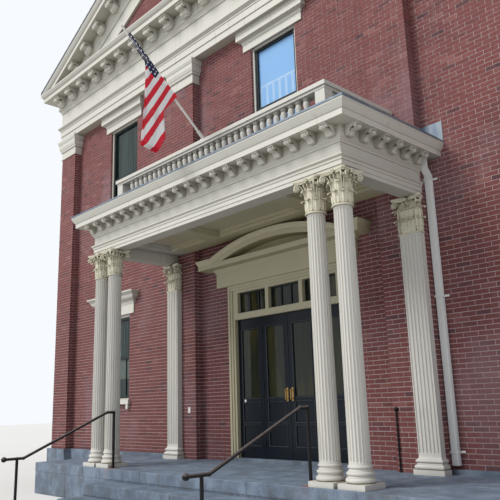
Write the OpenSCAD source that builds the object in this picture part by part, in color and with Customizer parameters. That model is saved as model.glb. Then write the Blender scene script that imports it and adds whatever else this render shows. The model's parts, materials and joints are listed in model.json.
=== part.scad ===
// Brick town hall with a pedimented front, a columned entrance porch and a balustraded balcony.
// Millimetres, +Z up, front towards -Y, origin on the ground at the middle of the plan.

/* [Building] */
// Width of the front between the outer faces of the corner pilasters
facade_w = 15860; // [15000:10:17000]
// Depth of the brick box from the front wall to the rear wall
depth = 22000; // [20000:50:26000]
// Thickness of the brick walls
wall_t = 400; // [300:10:500]
// How far the pilasters stand out from the walls
pilaster_p = 180; // [120:5:220]
// Width of a corner pilaster
corner_pil_w = 701; // [600:1:760]
// Distance from the middle to the inner edge of an inner pilaster
inner_pil_in = 2195; // [2150:5:2230]
// Width of an inner pilaster
inner_pil_w = 748; // [700:2:800]
// Number of window bays on each long side
side_bays = 5; // [4:1:6]
// Slope of the roof, as rise over run
roof_slope = 0.5; // [0.4:0.01:0.56]
// Thickness of the roof, measured upright
roof_t = 80; // [60:5:120]
// Height of the granite base above the porch floor
base_rise = 60; // [30:5:120]
// How far the granite base stands out from the brick
base_p = 80; // [50:5:120]
// Height of the upper floor above the porch floor
upper_floor_z = 4300; // [4150:10:4500]
// Thickness of the floors
floor_t = 280; // [200:10:360]

/* [Main entablature] */
// Underside of the main architrave above the porch floor
main_arch_z = 8135; // [8050:5:8250]
// Height of the architrave
main_arch_h = 414; // [360:2:460]
// Height of the plain frieze
main_frieze_h = 420; // [360:5:480]
// Height of the bed moulding and the modillion band
main_bed_h = 383; // [340:1:420]
// Height of the corona and the gutter moulding
main_corona_h = 221; // [180:1:260]
// How far the architrave stands out from the pilasters
main_arch_p = 40; // [20:5:80]
// How far the cornice stands out from the pilasters
main_cornice_p = 492; // [440:2:560]
// Distance between the modillions of the main cornice
main_mod_step = 620; // [560:5:700]
// Width of a main modillion
main_mod_w = 230; // [180:5:280]
// How far the mouldings of a pilaster capital stand out
collar_p = 110; // [80:5:140]
// Height of a pilaster capital
collar_h = 535; // [480:5:600]

/* [Windows] */
// Distance of the side bays' windows from the middle
window_x = 5120; // [5050:5:5260]
// Distance of the front's lower windows from the middle
lower_window_x = 5350; // [5100:5:5400]
// Width of a window opening
window_w = 1170; // [1080:10:1200]
// Height of the top of the upper window openings above the porch floor
upper_win_top = 7740; // [7650:5:7780]
// Height of the upper window openings
upper_win_h = 2650; // [2500:10:2760]
// Height of the top of the lower window openings above the porch floor
lower_win_top = 3020; // [2960:5:3060]
// Height of the lower window openings
lower_win_h = 1900; // [1800:10:2000]
// Depth of a sash frame
sash_t = 90; // [70:2:110]
// Width of a sash frame's members
sash_w = 62; // [50:1:75]
// How far a window frame is set back from the wall face
frame_in = 40; // [20:2:60]
// Width of a window frame's posts
jamb_w = 52; // [44:2:70]
// How far a sash is set back from the wall face
sash_in = 70; // [60:2:100]
// Thickness of a pane
glass_t = 12; // [8:1:20]
// How far a sill stands out from the wall
sill_p = 70; // [50:5:90]
// Height of a sill
sill_t = 75; // [60:5:90]
// Half width of the boards over the windows
hood_half = 775; // [740:5:800]
// Thickness of the boards over the windows
hood_board_t = 30; // [20:2:50]
// How far a lower hood's cornice stands out from its board
lower_hood_p = 195; // [160:5:220]
// How far an upper hood's moulding stands out from its board
upper_hood_p = 100; // [70:5:120]

/* [Porch platform] */
// Number of risers from the ground to the porch floor
risers = 3; // [3:1:4]
// Height of one riser
riser_h = 185; // [170:1:195]
// Depth of one tread
tread_d = 420; // [400:5:460]
// Width of the steps
steps_w = 4400; // [4300:10:4600]
// Width of the granite platform
platform_w = 9500; // [9000:20:10000]
// Depth of the granite platform in front of the wall
platform_d = 2080; // [2060:5:2200]

/* [Columns] */
// Distance from the middle to an outer column
outer_col_x = 2844; // [2830:1:2860]
// Distance from the middle to an inner column
inner_col_x = 2405; // [2390:1:2415]
// Distance from the wall to the columns' axis
col_y = 1845; // [1820:1:1870]
// Radius of a shaft at its foot
shaft_r0 = 127; // [120:1:132]
// Radius of a shaft under its capital
shaft_r1 = 117; // [108:1:120]
// Number of flutes round a shaft
flutes = 20; // [16:2:24]
// Radius of a flute
flute_r = 15; // [12:0.5:17]
// Half width of a plinth
plinth_half = 189; // [180:1:195]
// Height of a plinth
plinth_h = 66; // [55:1:80]
// Height of a base with its plinth
col_base_h = 234; // [220:1:250]
// Height of the foot of the capitals above the porch floor
shaft_top = 3294; // [3250:1:3330]
// Underside of the porch architrave above the porch floor
porch_arch_z = 3743; // [3720:1:3780]
// Width of an anta
anta_w = 331; // [310:1:350]
// How far an anta stands out from its pilaster
anta_p = 115; // [90:5:130]
// Foot of the anta capitals above the porch floor
anta_top = 3213; // [3180:1:3250]
// Number of flutes on an anta's front
anta_flutes = 6; // [5:1:7]
// Half width of an abacus
abacus_half = 198; // [185:1:205]
// Height of an abacus
abacus_h = 54; // [44:2:64]

/* [Porch entablature] */
// How far the architrave's face stands out from the outer column's axis
porch_face = 112; // [104:1:118]
// Thickness of the porch beams
beam_t = 240; // [220:5:260]
// Height of the architrave
porch_arch_h = 188; // [170:1:200]
// Height of the frieze
porch_frieze_h = 159; // [140:1:200]
// Height of the bed moulding and the modillion band
porch_bed_h = 204; // [180:1:230]
// Height of the corona and its crown moulding
porch_corona_h = 197; // [180:1:220]
// How far the cornice stands out from the architrave
porch_cornice_p = 327; // [300:1:340]
// Distance between the modillions
porch_mod_step = 303; // [290:1:340]
// Width of a porch modillion
porch_mod_w = 110; // [90:1:130]
// Thickness of the porch ceiling with its ribs
ceiling_t = 120; // [90:5:150]
// Width of the ceiling's ribs
rib_w = 350; // [280:10:420]
// Distance of the ceiling's cross ribs from the middle
rib_x = 1200; // [1100:10:1300]

/* [Balustrade] */
// Distance from the wall to the rail's front face
rail_y = 1750; // [1700:5:1800]
// Half width of the balustrade
rail_x = 2600; // [2540:5:2660]
// Height of the balustrade above the porch roof
balustrade_h = 650; // [580:5:700]
// Width of the handrail
rail_w = 230; // [200:5:250]
// Thickness of the handrail and of the foot rail
rail_h = 100; // [80:2:110]
// Width of a corner pedestal
pedestal_w = 170; // [150:5:190]
// Distance between balusters
baluster_step = 145; // [130:1:170]
// Largest radius of a baluster
baluster_r = 63; // [50:1:66]

/* [Entrance] */
// Half width of the door opening
door_half = 1250; // [1240:1:1260]
// Top of the door leaves above the porch floor
door_top = 2467; // [2440:1:2490]
// Height of the door sill
sill_h = 48; // [40:1:60]
// Thickness of a door leaf
leaf_t = 45; // [40:1:50]
// How far the leaves are set back from the wall face
leaf_in = 80; // [60:1:100]
// Running gap round a hinged leaf
leaf_gap = 6; // [5:0.5:8]
// Width of a leaf's stiles and rails
stile_w = 105; // [90:1:120]
// Underside of the transom lights above the porch floor
light_z = 2588; // [2570:1:2600]
// Top of the transom lights above the porch floor
light_top = 2967; // [2950:1:2985]
// Width of the white moulded door frame
door_frame_w = 150; // [130:1:165]
// Depth of the door frame
door_frame_t = 200; // [180:5:260]
// Height of the board over the door
door_board_h = 330; // [300:2:360]
// Half width of the board over the door
door_board_half = 1660; // [1600:5:1700]
// Thickness of the board over the door
door_board_t = 70; // [50:2:100]
// How far the door's cornice stands out from that board
door_hood_p = 290; // [260:5:320]
// Half width of the arched moulding at its springing
door_arch_half = 1500; // [1440:5:1560]
// Rise of the arched moulding
door_arch_rise = 270; // [240:5:300]
// Radius of a hinge barrel
hinge_r = 8; // [6:0.5:10]
// Length of a hinge barrel
hinge_len = 100; // [80:5:120]

/* [Rails and flagpole] */
// Radius of the handrail pipe
pipe_r = 21; // [18:1:26]
// Width of the downspout
pipe_w = 96; // [80:2:110]
// Distance of the downspout from the middle
downspout_x = 3010; // [2990:5:3040]
// Distance from the middle to a handrail
hand_x = 2185; // [2150:5:2190]
// Height of the handrail above the porch floor
hand_h = 900; // [860:5:950]
// Distance from the wall to a handrail's upper post
hand_y = 1950; // [1900:5:2000]
// Radius of the flagpole
pole_r = 19; // [15:1:25]
// Length of the flagpole
pole_len = 2150; // [2000:10:2400]
// Slope of the flagpole in degrees above level
pole_angle = 42; // [35:1:50]
// Length of the flag's edge on the pole
flag_hoist = 1250; // [1100:10:1280]
// Thickness of the hanging folds
flag_t = 110; // [60:5:160]

/* [Hidden] */

// Levels above the ground
fz = risers * riser_h;
base_top = fz + base_rise;
main_z0 = fz + main_arch_z;
main_z1 = main_z0 + main_arch_h;
main_z2 = main_z1 + main_frieze_h;
main_z3 = main_z2 + main_bed_h;
main_z4 = main_z3 + main_corona_h;
porch_z0 = fz + porch_arch_z;
porch_z1 = porch_z0 + porch_arch_h;
porch_z2 = porch_z1 + porch_frieze_h;
porch_z3 = porch_z2 + porch_bed_h;
porch_z4 = porch_z3 + porch_corona_h;

// Plan of the building: brick walls at wall_x, pilasters out to half_w
half_w = facade_w / 2;
wall_x = half_w - pilaster_p;
rear_y = depth;
eave_x = half_w + main_cornice_p;
inner_pil_out = inner_pil_in + inner_pil_w;
front_pils = [-half_w, -inner_pil_out, inner_pil_in, half_w - corner_pil_w];
front_pil_ws = [corner_pil_w, inner_pil_w, inner_pil_w, corner_pil_w];
side_pitch = (depth + 2 * pilaster_p - corner_pil_w) / side_bays;
side_pils = [for (i = [0:side_bays]) -pilaster_p + i * side_pitch];
upper_xs = [-window_x, 0, window_x];
lower_xs = [-lower_window_x, 0, lower_window_x];
rebate = jamb_w - 10;
seat = 0.1;
side_win_ys = [for (i = [0:side_bays - 1]) side_pils[i] + (side_pitch + corner_pil_w) / 2];

// Levels of the windows
uw_z1 = fz + upper_win_top;
uw_z0 = uw_z1 - upper_win_h;
lw_z1 = fz + lower_win_top;
lw_z0 = lw_z1 - lower_win_h;

// Entrance
frame_half = door_half + door_frame_w;
frame_top = fz + light_top + door_frame_w;
board_top = frame_top + door_board_h;
leaf_w = door_half / 2;
leaf_z0 = fz + sill_h + leaf_gap;
leaf_z1 = fz + door_top;

// Extent of the handrails, the foremost piece, and the plan's middle
hand_slope = riser_h / tread_d;
hand_run = (risers - 1) * tread_d + 580;
hand_kink_y = platform_d;
hand_low_y = hand_kink_y + hand_run;
hand_low_z = fz + hand_h - hand_run * hand_slope;
hand_post_y = hand_low_y + 100;
hand_end_y = hand_low_y + 300;
knob_r = 1.9 * pipe_r;
front_reach = hand_end_y + knob_r;
rear_reach = depth + pilaster_p + main_cornice_p;
middle_y = (rear_reach - front_reach) / 2;

// Free edge of the hanging flag, inwards and down from the hoist's upper end
flag_edge = [[690, 1215], [750, 1350], [730, 1605], [640, 1795], [330, 1760], [340, 1060],
    [425, 720], [345, 550]];

brick = "indianred";
stone = "lightslategray";
cream = "antiquewhite";
slate = "slategray";
dark = [0.1, 0.12, 0.14];

// Clearances and reaches that other values are worked out from
far = 20000;
run_d = 600;

// Puts a piece drawn from the front wall's face into the part's own frame
module placed() {
    translate([0, -middle_y, 0]) children();
}

module box(x0, x1, y0, y1, z0, z1) {
    translate([x0, y0, z0]) cube([x1 - x0, y1 - y0, z1 - z0]);
}

// A plain bar with the given section drawn outwards (x) and up (y), run along +Y from y0 to y1
module run_y(y0, y1) {
    translate([0, y1, 0]) rotate([90, 0, 0]) linear_extrude(y1 - y0) children();
}

// A section run along X from x0 to x1 in front of the plane y, growing towards -Y
module run_x(x0, x1, y) {
    translate([x0, y, 0]) rotate([90, 0, 90]) linear_extrude(x1 - x0) mirror([1, 0]) children();
}

// A section carried round the whole building, mitred at the corners
module ring_run(extra = 0) {
    reach = main_cornice_p + 200;
    y0 = -pilaster_p;
    y1 = depth + pilaster_p;
    for (s = [0, 1])
        mirror([s, 0, 0]) intersection() {
            translate([half_w, 0, 0]) run_y(y0 - reach, y1 + reach) children();
            side_wedge(y0, y1);
        }
    intersection() {
        run_x(-half_w - reach, half_w + reach, y0) children();
        front_wedge(y0);
    }
    translate([0, y0 + y1, 0]) mirror([0, 1, 0]) intersection() {
        run_x(-half_w - reach, half_w + reach, y0) children();
        front_wedge(y0);
    }
}

// The plan regions in which a ring's side run and its front run lie
module side_wedge(y0, y1) {
    d = 1500;
    linear_extrude(far) polygon([
        [half_w - d, y0 + d], [half_w + d, y0 - d], [half_w + d, y1 + d], [half_w - d, y1 - d]]);
}

module front_wedge(y0) {
    d = 1500;
    linear_extrude(far) polygon([
        [-half_w - d, y0 - d], [half_w + d, y0 - d], [half_w - d, y0 + d], [-half_w + d, y0 + d]]);
}

// A section carried round three sides of a block: its half width, its front and its back plane,
// and how far the section reaches into the block
module u_run(half, front, back, t = 0) {
    d = run_d;
    for (s = [0, 1])
        mirror([s, 0, 0]) intersection() {
            translate([half, 0, 0]) run_y(-front - d, back) children();
            linear_extrude(far) polygon([[half - t, -front + t], [half + d, -front - d],
                [half + d, back], [half - t, back]]);
        }
    intersection() {
        run_x(-half - d, half + d, -front) children();
        linear_extrude(far) polygon([[-half - d, -front - d], [half + d, -front - d],
            [half - t, -front + t], [-half + t, -front + t]]);
    }
}

// A board on the plane y = 0 with a moulding round its three free edges
module moulded_board(half, t, z0, z1) {
    box(-half, half, -t, 0, z0, z1);
    u_run(half, t, 0, t - 1) children();
}

// Brickwork

module window_hole(x, z0, z1) {
    box(x - window_w / 2, x + window_w / 2, -1, wall_t + 1, z0, z1);
}

module granite_base() {
    out_x = wall_x + base_p;
    in_x = wall_x - wall_t;
    color(stone) placed() {
        difference() {
            union() {
                box(-out_x, out_x, -base_p, depth + base_p, 0, base_top);
                for (s = [-1, 1])
                    for (y = [-pilaster_p - base_p, depth])
                        box(min(s * (half_w + base_p), s * (half_w - corner_pil_w - base_p)),
                            max(s * (half_w + base_p), s * (half_w - corner_pil_w - base_p)),
                            y, y + pilaster_p + base_p, 0, base_top);
                for (x = [-inner_pil_out, inner_pil_in])
                    box(x - base_p, x + inner_pil_w + base_p, depth, depth + pilaster_p + base_p,
                        0, base_top);
                for (s = [0, 1])
                    for (y = side_pils)
                        mirror([s, 0, 0]) box(wall_x, half_w + base_p,
                            y - base_p, y + corner_pil_w + base_p, 0, base_top);
            }
            box(-in_x, in_x, wall_t, depth - wall_t, -1, base_top + 1);
            box(-inner_pil_out, inner_pil_out, -base_p - 1, 0, -1, base_top + 1);
            box(-inner_pil_out, inner_pil_out, -1, wall_t + 1, fz, base_top + 1);
        }
        box(-frame_half, frame_half, -30, leaf_in + door_frame_t, fz, fz + sill_h);
    }
}

module front_wall_side() {
    difference() {
        union() {
            box(-wall_x, -inner_pil_out, 0, wall_t, base_top, main_z4);
            box(-inner_pil_out, -frame_half, 0, wall_t, fz, main_z4);
            box(-half_w, -half_w + corner_pil_w, -pilaster_p, 0, base_top, main_z0);
            box(-inner_pil_out, -inner_pil_in, -pilaster_p, 0, fz, main_z0);
        }
        window_hole(-lower_window_x, lw_z0, lw_z1);
        window_hole(-window_x, uw_z0, uw_z1);
    }
}

module front_wall_left() {
    color(brick) placed() front_wall_side();
}

module front_wall_right() {
    color(brick) placed() mirror([1, 0, 0]) front_wall_side();
}

module front_wall_over_door() {
    color(brick) placed() difference() {
        box(-frame_half, frame_half, 0, wall_t, frame_top, main_z4);
        window_hole(0, uw_z0, uw_z1);
    }
}

// One long side wall, on the left
module side_wall() {
    placed() difference() {
        union() {
            box(-wall_x, -wall_x + wall_t, wall_t, depth - wall_t, base_top, main_z4);
            for (y = side_pils)
                box(-half_w, -wall_x, max(y, 0), min(y + corner_pil_w, depth), base_top, main_z0);
        }
        for (y = side_win_ys)
            for (z = [[lw_z0, lw_z1], [uw_z0, uw_z1]])
                box(-wall_x - 1, -wall_x + wall_t + 1, y - window_w / 2, y + window_w / 2,
                    z[0], z[1]);
    }
}

module side_wall_left() {
    color(brick) side_wall();
}

module side_wall_right() {
    color(brick) mirror([1, 0, 0]) side_wall();
}

module rear_wall() {
    color(brick) placed() difference() {
        union() {
            box(-wall_x, wall_x, depth - wall_t, depth, base_top, main_z4);
            for (i = [0:3])
                box(front_pils[i], front_pils[i] + front_pil_ws[i], depth, depth + pilaster_p,
                    base_top, main_z0);
        }
        translate([0, depth - wall_t, 0]) {
            for (x = lower_xs)
                window_hole(x, lw_z0, lw_z1);
            for (x = upper_xs)
                window_hole(x, uw_z0, uw_z1);
        }
    }
}

// Height of the roof's underside at a distance from the middle
function roof_z(x) = main_z4 + (eave_x - abs(x)) * roof_slope;

// A gable's brick triangle, drawn on the XZ plane
module gable_outline() {
    polygon([[-half_w, main_z4], [half_w, main_z4], [half_w, roof_z(half_w)],
        [0, roof_z(0)], [-half_w, roof_z(half_w)]]);
}

module front_gable() {
    color(brick) placed() translate([0, -pilaster_p + wall_t, 0]) rotate([90, 0, 0])
        linear_extrude(wall_t) gable_outline();
}

module rear_gable() {
    color(brick) placed() translate([0, depth + pilaster_p, 0]) rotate([90, 0, 0])
        linear_extrude(wall_t) gable_outline();
}

module roof_half() {
    y0 = -pilaster_p - main_cornice_p;
    y1 = depth + pilaster_p + main_cornice_p;
    plate_x = wall_x - wall_t;
    g = wall_t - pilaster_p;
    placed() {
        translate([0, y1, 0]) rotate([90, 0, 0]) linear_extrude(y1 - y0)
            polygon([[-eave_x, main_z4], [0, roof_z(0)], [0, roof_z(0) + roof_t],
                [-eave_x, main_z4 + roof_t]]);
        translate([0, depth - g, 0]) rotate([90, 0, 0]) linear_extrude(depth - 2 * g)
            polygon([[-eave_x, main_z4], [-plate_x, main_z4], [-plate_x, roof_z(plate_x)]]);
    }
}

module roof_left() {
    color(slate) roof_half();
}

module roof_right() {
    color(slate) mirror([1, 0, 0]) roof_half();
}

module floor_slab(z) {
    in_x = wall_x - wall_t;
    placed() box(-in_x, in_x, wall_t, depth - wall_t, z - floor_t, z);
}

module ground_floor() {
    color("tan") floor_slab(fz);
}

module upper_floor() {
    color("tan") floor_slab(fz + upper_floor_z);
}

// Stone steps and platform

module porch_floor() {
    color(stone) placed() union() {
        box(-platform_w / 2, platform_w / 2, -platform_d, -base_p, 0, fz);
        box(-inner_pil_out, inner_pil_out, -base_p - 1, 0, 0, fz);
    }
}

// One step, counted from the top
module step(n) {
    color(stone) placed() box(-steps_w / 2, steps_w / 2,
        -platform_d - n * tread_d, -platform_d - (n - 1) * tread_d, 0, fz - n * riser_h);
}

module step_upper() {
    step(1);
}

module step_lower() {
    if (risers > 2) step(2);
}

// Main entablature and cornices

// Architrave and frieze in section, outwards from the pilasters' faces
module main_entablature_section() {
    a = main_arch_p;
    polygon([[-pilaster_p, main_z0], [a, main_z0], [a, main_z0 + 150], [a + 18, main_z0 + 150],
        [a + 18, main_z0 + 300], [a + 30, main_z0 + 300], [a + 30, main_z0 + 330],
        [a + 85, main_z1 - 30], [a + 85, main_z1], [a, main_z1], [a, main_z2],
        [-pilaster_p, main_z2]]);
}

module main_entablature() {
    color(cream) placed() ring_run() main_entablature_section();
}

// Bed moulding, corona and gutter moulding in section, with the top at z = 0
crown_points = [[main_cornice_p, 0], [main_cornice_p, -30], [main_cornice_p - 5, -35],
    [main_cornice_p - 30, -0.35 * main_corona_h], [main_cornice_p - 55, -0.48 * main_corona_h],
    [main_cornice_p - 70, -0.5 * main_corona_h], [main_cornice_p - 70, -main_corona_h]];
bed_points = [[main_arch_p + 70, 0], [main_arch_p + 70, 130 - main_bed_h],
    [main_arch_p + 85, 130 - main_bed_h], [main_arch_p + 85, 110 - main_bed_h],
    [main_arch_p + 50, 75 - main_bed_h], [main_arch_p + 20, 30 - main_bed_h],
    [main_arch_p + 20, -main_bed_h]];

module main_cornice_section() {
    polygon(concat([for (p = crown_points) [p[0], main_z4 + p[1]]],
        [for (p = bed_points) [p[0], main_z3 + p[1]]],
        [[-pilaster_p, main_z2], [-pilaster_p, main_z4]]));
}

module main_cornice() {
    color(cream) placed() ring_run() main_cornice_section();
}

// A scrolled bracket, seen from the side: outwards (x) from its wall, down (y) from its soffit
module modillion_outline(d, h) {
    polygon([[0, 0], [d, 0], [d, -0.14 * h], [0.93 * d, -0.16 * h], [0.9 * d, -0.34 * h],
        [0.72 * d, -0.3 * h], [0.55 * d, -0.36 * h], [0.45 * d, -0.5 * h], [0.3 * d, -0.8 * h],
        [0.2 * d, -h], [0, -h]]);
    translate([0.83 * d, -0.36 * h]) circle(r = 0.16 * h, $fn = 24);
    translate([0.29 * h, -0.72 * h]) circle(r = 0.28 * h, $fn = 32);
}

// The bracket with the tip of a leaf curled under its scroll
module modillion(d, h, w) {
    translate([w / 2, 0, 0]) rotate([90, 0, -90]) linear_extrude(w) modillion_outline(d, h);
    translate([0, -0.84 * d, -0.46 * h]) rotate([0, 90, 0])
        cylinder(r = 0.16 * h, h = 0.7 * w, center = true, $fn = 24);
}

// Centres of modillions spread evenly over a half length, none at the middle
function mod_places(half, step) = [for (i = [0:floor(half / step - 0.5)])
    for (s = [-1, 1]) s * (i + 0.5) * step];

module cornice_modillions() {
    a = main_arch_p + 70;
    d = main_cornice_p - 70 - a - 40;
    h = main_bed_h - 130 - 2 * seat;
    half_d = depth / 2 + pilaster_p;
    angle = atan(roof_slope);
    color(cream) placed() {
        for (x = mod_places(half_w, main_mod_step))
            for (e = [0, 1])
                translate([0, e * depth, 0]) mirror([0, e, 0])
                    translate([x, -pilaster_p - a, main_z3 - seat]) modillion(d, h, main_mod_w);
        for (y = mod_places(half_d, main_mod_step))
            for (s = [-1, 1])
                translate([s * (half_w + a), depth / 2 + y, main_z3 - seat])
                    rotate([0, 0, s * 90]) modillion(d, h, main_mod_w);
        for (i = [0:rake_mods - 1])
            for (s = [0, 1])
                for (e = [0, 1])
                    translate([0, e * depth, 0]) mirror([0, e, 0]) mirror([s, 0, 0])
                        translate([-eave_x, -pilaster_p - a, main_z4]) rotate([0, -angle, 0])
                            translate([(eave_x - (i + 0.5) * main_mod_step) / cos(angle), 0,
                                -main_corona_h - 2 * seat]) modillion(d, h, main_mod_w);
    }
}

// How many modillions each slope of the gable carries
rake_room = eave_x - cos(atan(roof_slope))
    * (main_mod_w / 2 + (main_corona_h + main_bed_h) / roof_slope);
rake_mods = floor(rake_room / main_mod_step + 0.5);

// Raking entablature in section: outwards from the gable, up from the roof's underside
module raking_section() {
    low = -main_corona_h - main_bed_h - main_frieze_h;
    translate([0, -seat]) polygon(concat(crown_points,
        [for (p = bed_points) [p[0], p[1] - main_corona_h]],
        [[main_arch_p, -main_corona_h - main_bed_h], [main_arch_p, low + 70],
            [main_arch_p + 25, low + 50], [main_arch_p + 25, low], [0, low], [0, 0]]));
}

module raking_run() {
    angle = atan(roof_slope);
    reach = eave_x / cos(angle) + 400;
    intersection() {
        translate([-eave_x, -pilaster_p, main_z4]) rotate([0, -angle, 0])
            run_x(-400, reach, 0) raking_section();
        box(-eave_x - 1, 0, -pilaster_p - main_cornice_p - 1, -pilaster_p,
            main_z4, roof_z(0) + 1);
    }
}

module raking_cornices() {
    color(cream) placed() {
        union() {
            raking_run();
            mirror([1, 0, 0]) raking_run();
        }
        translate([0, depth, 0]) mirror([0, 1, 0]) union() {
            raking_run();
            mirror([1, 0, 0]) raking_run();
        }
    }
}

// Mouldings of a pilaster capital in section, hanging from the architrave
module collar_section() {
    p = collar_p;
    h = collar_h;
    polygon([[0, -h], [0.22 * p, -h], [0.28 * p, -0.97 * h], [0.22 * p, -0.93 * h],
        [0.1 * p, -0.93 * h], [0.1 * p, -0.62 * h], [0.36 * p, -0.6 * h], [0.42 * p, -0.56 * h],
        [0.42 * p, -0.52 * h], [0.52 * p, -0.5 * h], [0.68 * p, -0.4 * h], [0.72 * p, -0.38 * h],
        [0.72 * p, -0.22 * h], [0.8 * p, -0.2 * h], [0.96 * p, -0.12 * h], [p, -0.1 * h],
        [p, 0], [0, 0]]);
}

module pilaster_collar(w, d) {
    translate([0, 0, -far / 2]) u_run(w / 2, d, 0) translate([0, far / 2]) collar_section();
}

module pilaster_capitals() {
    color(cream) placed() translate([0, 0, main_z0]) {
        for (x = [-1, 1] * (inner_pil_in + inner_pil_w / 2)) {
            translate([x, 0, 0]) pilaster_collar(inner_pil_w, pilaster_p);
            translate([x, depth, 0]) rotate([0, 0, 180]) pilaster_collar(inner_pil_w, pilaster_p);
        }
        for (i = [1:side_bays - 1])
            for (s = [-1, 1])
                translate([s * wall_x, side_pils[i] + corner_pil_w / 2, 0])
                    rotate([0, 0, s * 90]) pilaster_collar(corner_pil_w, pilaster_p);
        for (s = [0, 1])
            for (e = [0, 1])
                corner_collar(s, e);
    }
}

// Half of the same collar round a corner pilaster, whose corner lies at the origin
module half_corner_collar() {
    w = corner_pil_w;
    d = run_d;
    intersection() {
        run_x(-d, w + d, 0) translate([0, far / 2]) collar_section();
        linear_extrude(far) polygon([[-d, -d], [w + d, -d], [w, 0], [0, 0]]);
    }
    intersection() {
        translate([w, 0, 0]) run_y(-d, pilaster_p) translate([0, far / 2]) collar_section();
        linear_extrude(far) polygon([[w, 0], [w + d, -d], [w + d, pilaster_p], [w, pilaster_p]]);
    }
}

module corner_collar(s, e) {
    translate([0, e * depth, 0]) mirror([0, e, 0]) mirror([s, 0, 0])
        translate([-half_w, -pilaster_p, -far / 2]) union() {
            half_corner_collar();
            mirror([1, -1, 0]) half_corner_collar();
        }
}

// Windows, drawn for one window in the wall plane y = 0 with its middle at x = 0

module window_frame(z0, z1) {
    w = window_w / 2;
    deep = sash_in + sash_t + 20;
    difference() {
        box(-w, w, frame_in, deep, z0, z1);
        box(-w + jamb_w, w - jamb_w, frame_in - 1, sash_in, z0 + jamb_w, z1 - jamb_w);
        box(-w + rebate, w - rebate, sash_in - 1, deep + 1, z0 + rebate, z1 - rebate);
    }
    box(-w, w, -1, frame_in + 1, z0, z0 + 20);
    box(-w - sill_p, w + sill_p, -sill_p, 0, z0 - sill_t, z0 + 20);
    for (s = [-1, 1])
        box(s * w - 40, s * w + 40, 10 - sill_p, 0, z0 - sill_t - 100, z0 - sill_t);
}

module window_sash(z0, z1) {
    w = window_w / 2 - rebate;
    difference() {
        box(-w, w, sash_in, sash_in + sash_t, z0 + rebate, z1 - rebate);
        window_panes(z0, z1, -1, sash_in + sash_t + 1);
    }
}

// The two panes' outline between two depths
module window_panes(z0, z1, y0, y1) {
    w = window_w / 2 - rebate - sash_w;
    zm = (z0 + z1) / 2;
    box(-w, w, y0, y1, z0 + rebate + sash_w, zm - sash_w / 2);
    box(-w, w, y0, y1, zm + sash_w / 2, z1 - rebate - sash_w);
}

// Puts children at every window of one storey, turned to its wall
module at_windows(upper) {
    for (x = upper ? upper_xs : lower_xs) {
        if (upper || x != 0)
            translate([x, 0, 0]) children();
        translate([x, depth, 0]) rotate([0, 0, 180]) children();
    }
    for (y = side_win_ys)
        for (s = [-1, 1])
            translate([s * wall_x, y, 0]) rotate([0, 0, s * 90]) children();
}

module window_frames() {
    color(cream) placed() {
        at_windows(false) window_frame(lw_z0, lw_z1);
        at_windows(true) window_frame(uw_z0, uw_z1);
    }
}

module window_sashes() {
    color(dark) placed() {
        at_windows(false) window_sash(lw_z0, lw_z1);
        at_windows(true) window_sash(uw_z0, uw_z1);
    }
}

module window_glass() {
    y = sash_in + sash_t / 2;
    color("lightblue") placed() {
        at_windows(false) window_panes(lw_z0, lw_z1, y, y + glass_t);
        at_windows(true) window_panes(uw_z0, uw_z1, y, y + glass_t);
    }
}

// Upper hoods hang under the architrave, lower hoods have a cornice of their own
module upper_hood() {
    p = upper_hood_p;
    a = uw_z1 + 130;
    b = a + 85;
    moulded_board(hood_half, hood_board_t, uw_z1 - 20, main_z0 - seat) polygon([[-1, a],
        [0.1 * p, a], [0.1 * p, a + 14], [0.22 * p, a + 50], [0.6 * p, b - 16], [0.72 * p, b - 12],
        [0.72 * p, b], [p, b], [p, main_z0 - seat], [-1, main_z0 - seat]]);
}

module lower_hood() {
    p = lower_hood_p;
    a = lw_z1 + 225;
    b = lw_z1 + 490;
    moulded_board(hood_half, hood_board_t, lw_z1 + 5, b) polygon([[-1, a], [0.05 * p, a],
        [0.05 * p, a + 20], [0.15 * p, a + 60], [0.48 * p, a + 105], [0.48 * p, a + 125],
        [0.56 * p, a + 125], [0.66 * p, a + 180], [0.9 * p, b - 35], [p, b - 28], [p, b], [-1, b]]);
}

module window_hoods() {
    color(cream) placed() {
        at_windows(false) lower_hood();
        at_windows(true) upper_hood();
    }
}

// Columns

module at_columns() {
    for (x = [-outer_col_x, -inner_col_x, inner_col_x, outer_col_x])
        translate([x, -col_y, 0]) children();
}

// Attic base: its offsets from the shaft's face and its heights, from the plinth up
base_u = col_base_h - plinth_h;
torus_a = 0.185 * base_u;
torus_b = 0.125 * base_u;
base_points = concat(
    [for (a = [-90:22.5:90]) [0.1 * base_u + torus_a * cos(a), plinth_h + torus_a * (1 + sin(a))]],
    [[0.13 * base_u, plinth_h + 0.37 * base_u], [0.13 * base_u, plinth_h + 0.4 * base_u],
        [0.09 * base_u, plinth_h + 0.45 * base_u], [0.12 * base_u, plinth_h + 0.5 * base_u]],
    [for (a = [-90:22.5:90])
        [0.08 * base_u + torus_b * cos(a), plinth_h + 0.5 * base_u + torus_b * (1 + sin(a))]],
    [[0.08 * base_u, plinth_h + 0.79 * base_u], [0.03 * base_u, plinth_h + 0.84 * base_u],
        [0.01 * base_u, plinth_h + 0.91 * base_u], [0, col_base_h]]);

module column_bases() {
    color(cream) placed() at_columns() translate([0, 0, fz]) {
        translate([-plinth_half, -plinth_half, 0])
            cube([2 * plinth_half, 2 * plinth_half, plinth_h]);
        rotate_extrude($fn = 64) polygon(concat([[0, plinth_h - 1]],
            [for (p = base_points) [shaft_r0 + p[0], p[1]]], [[0, col_base_h]]));
    }
}

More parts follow.
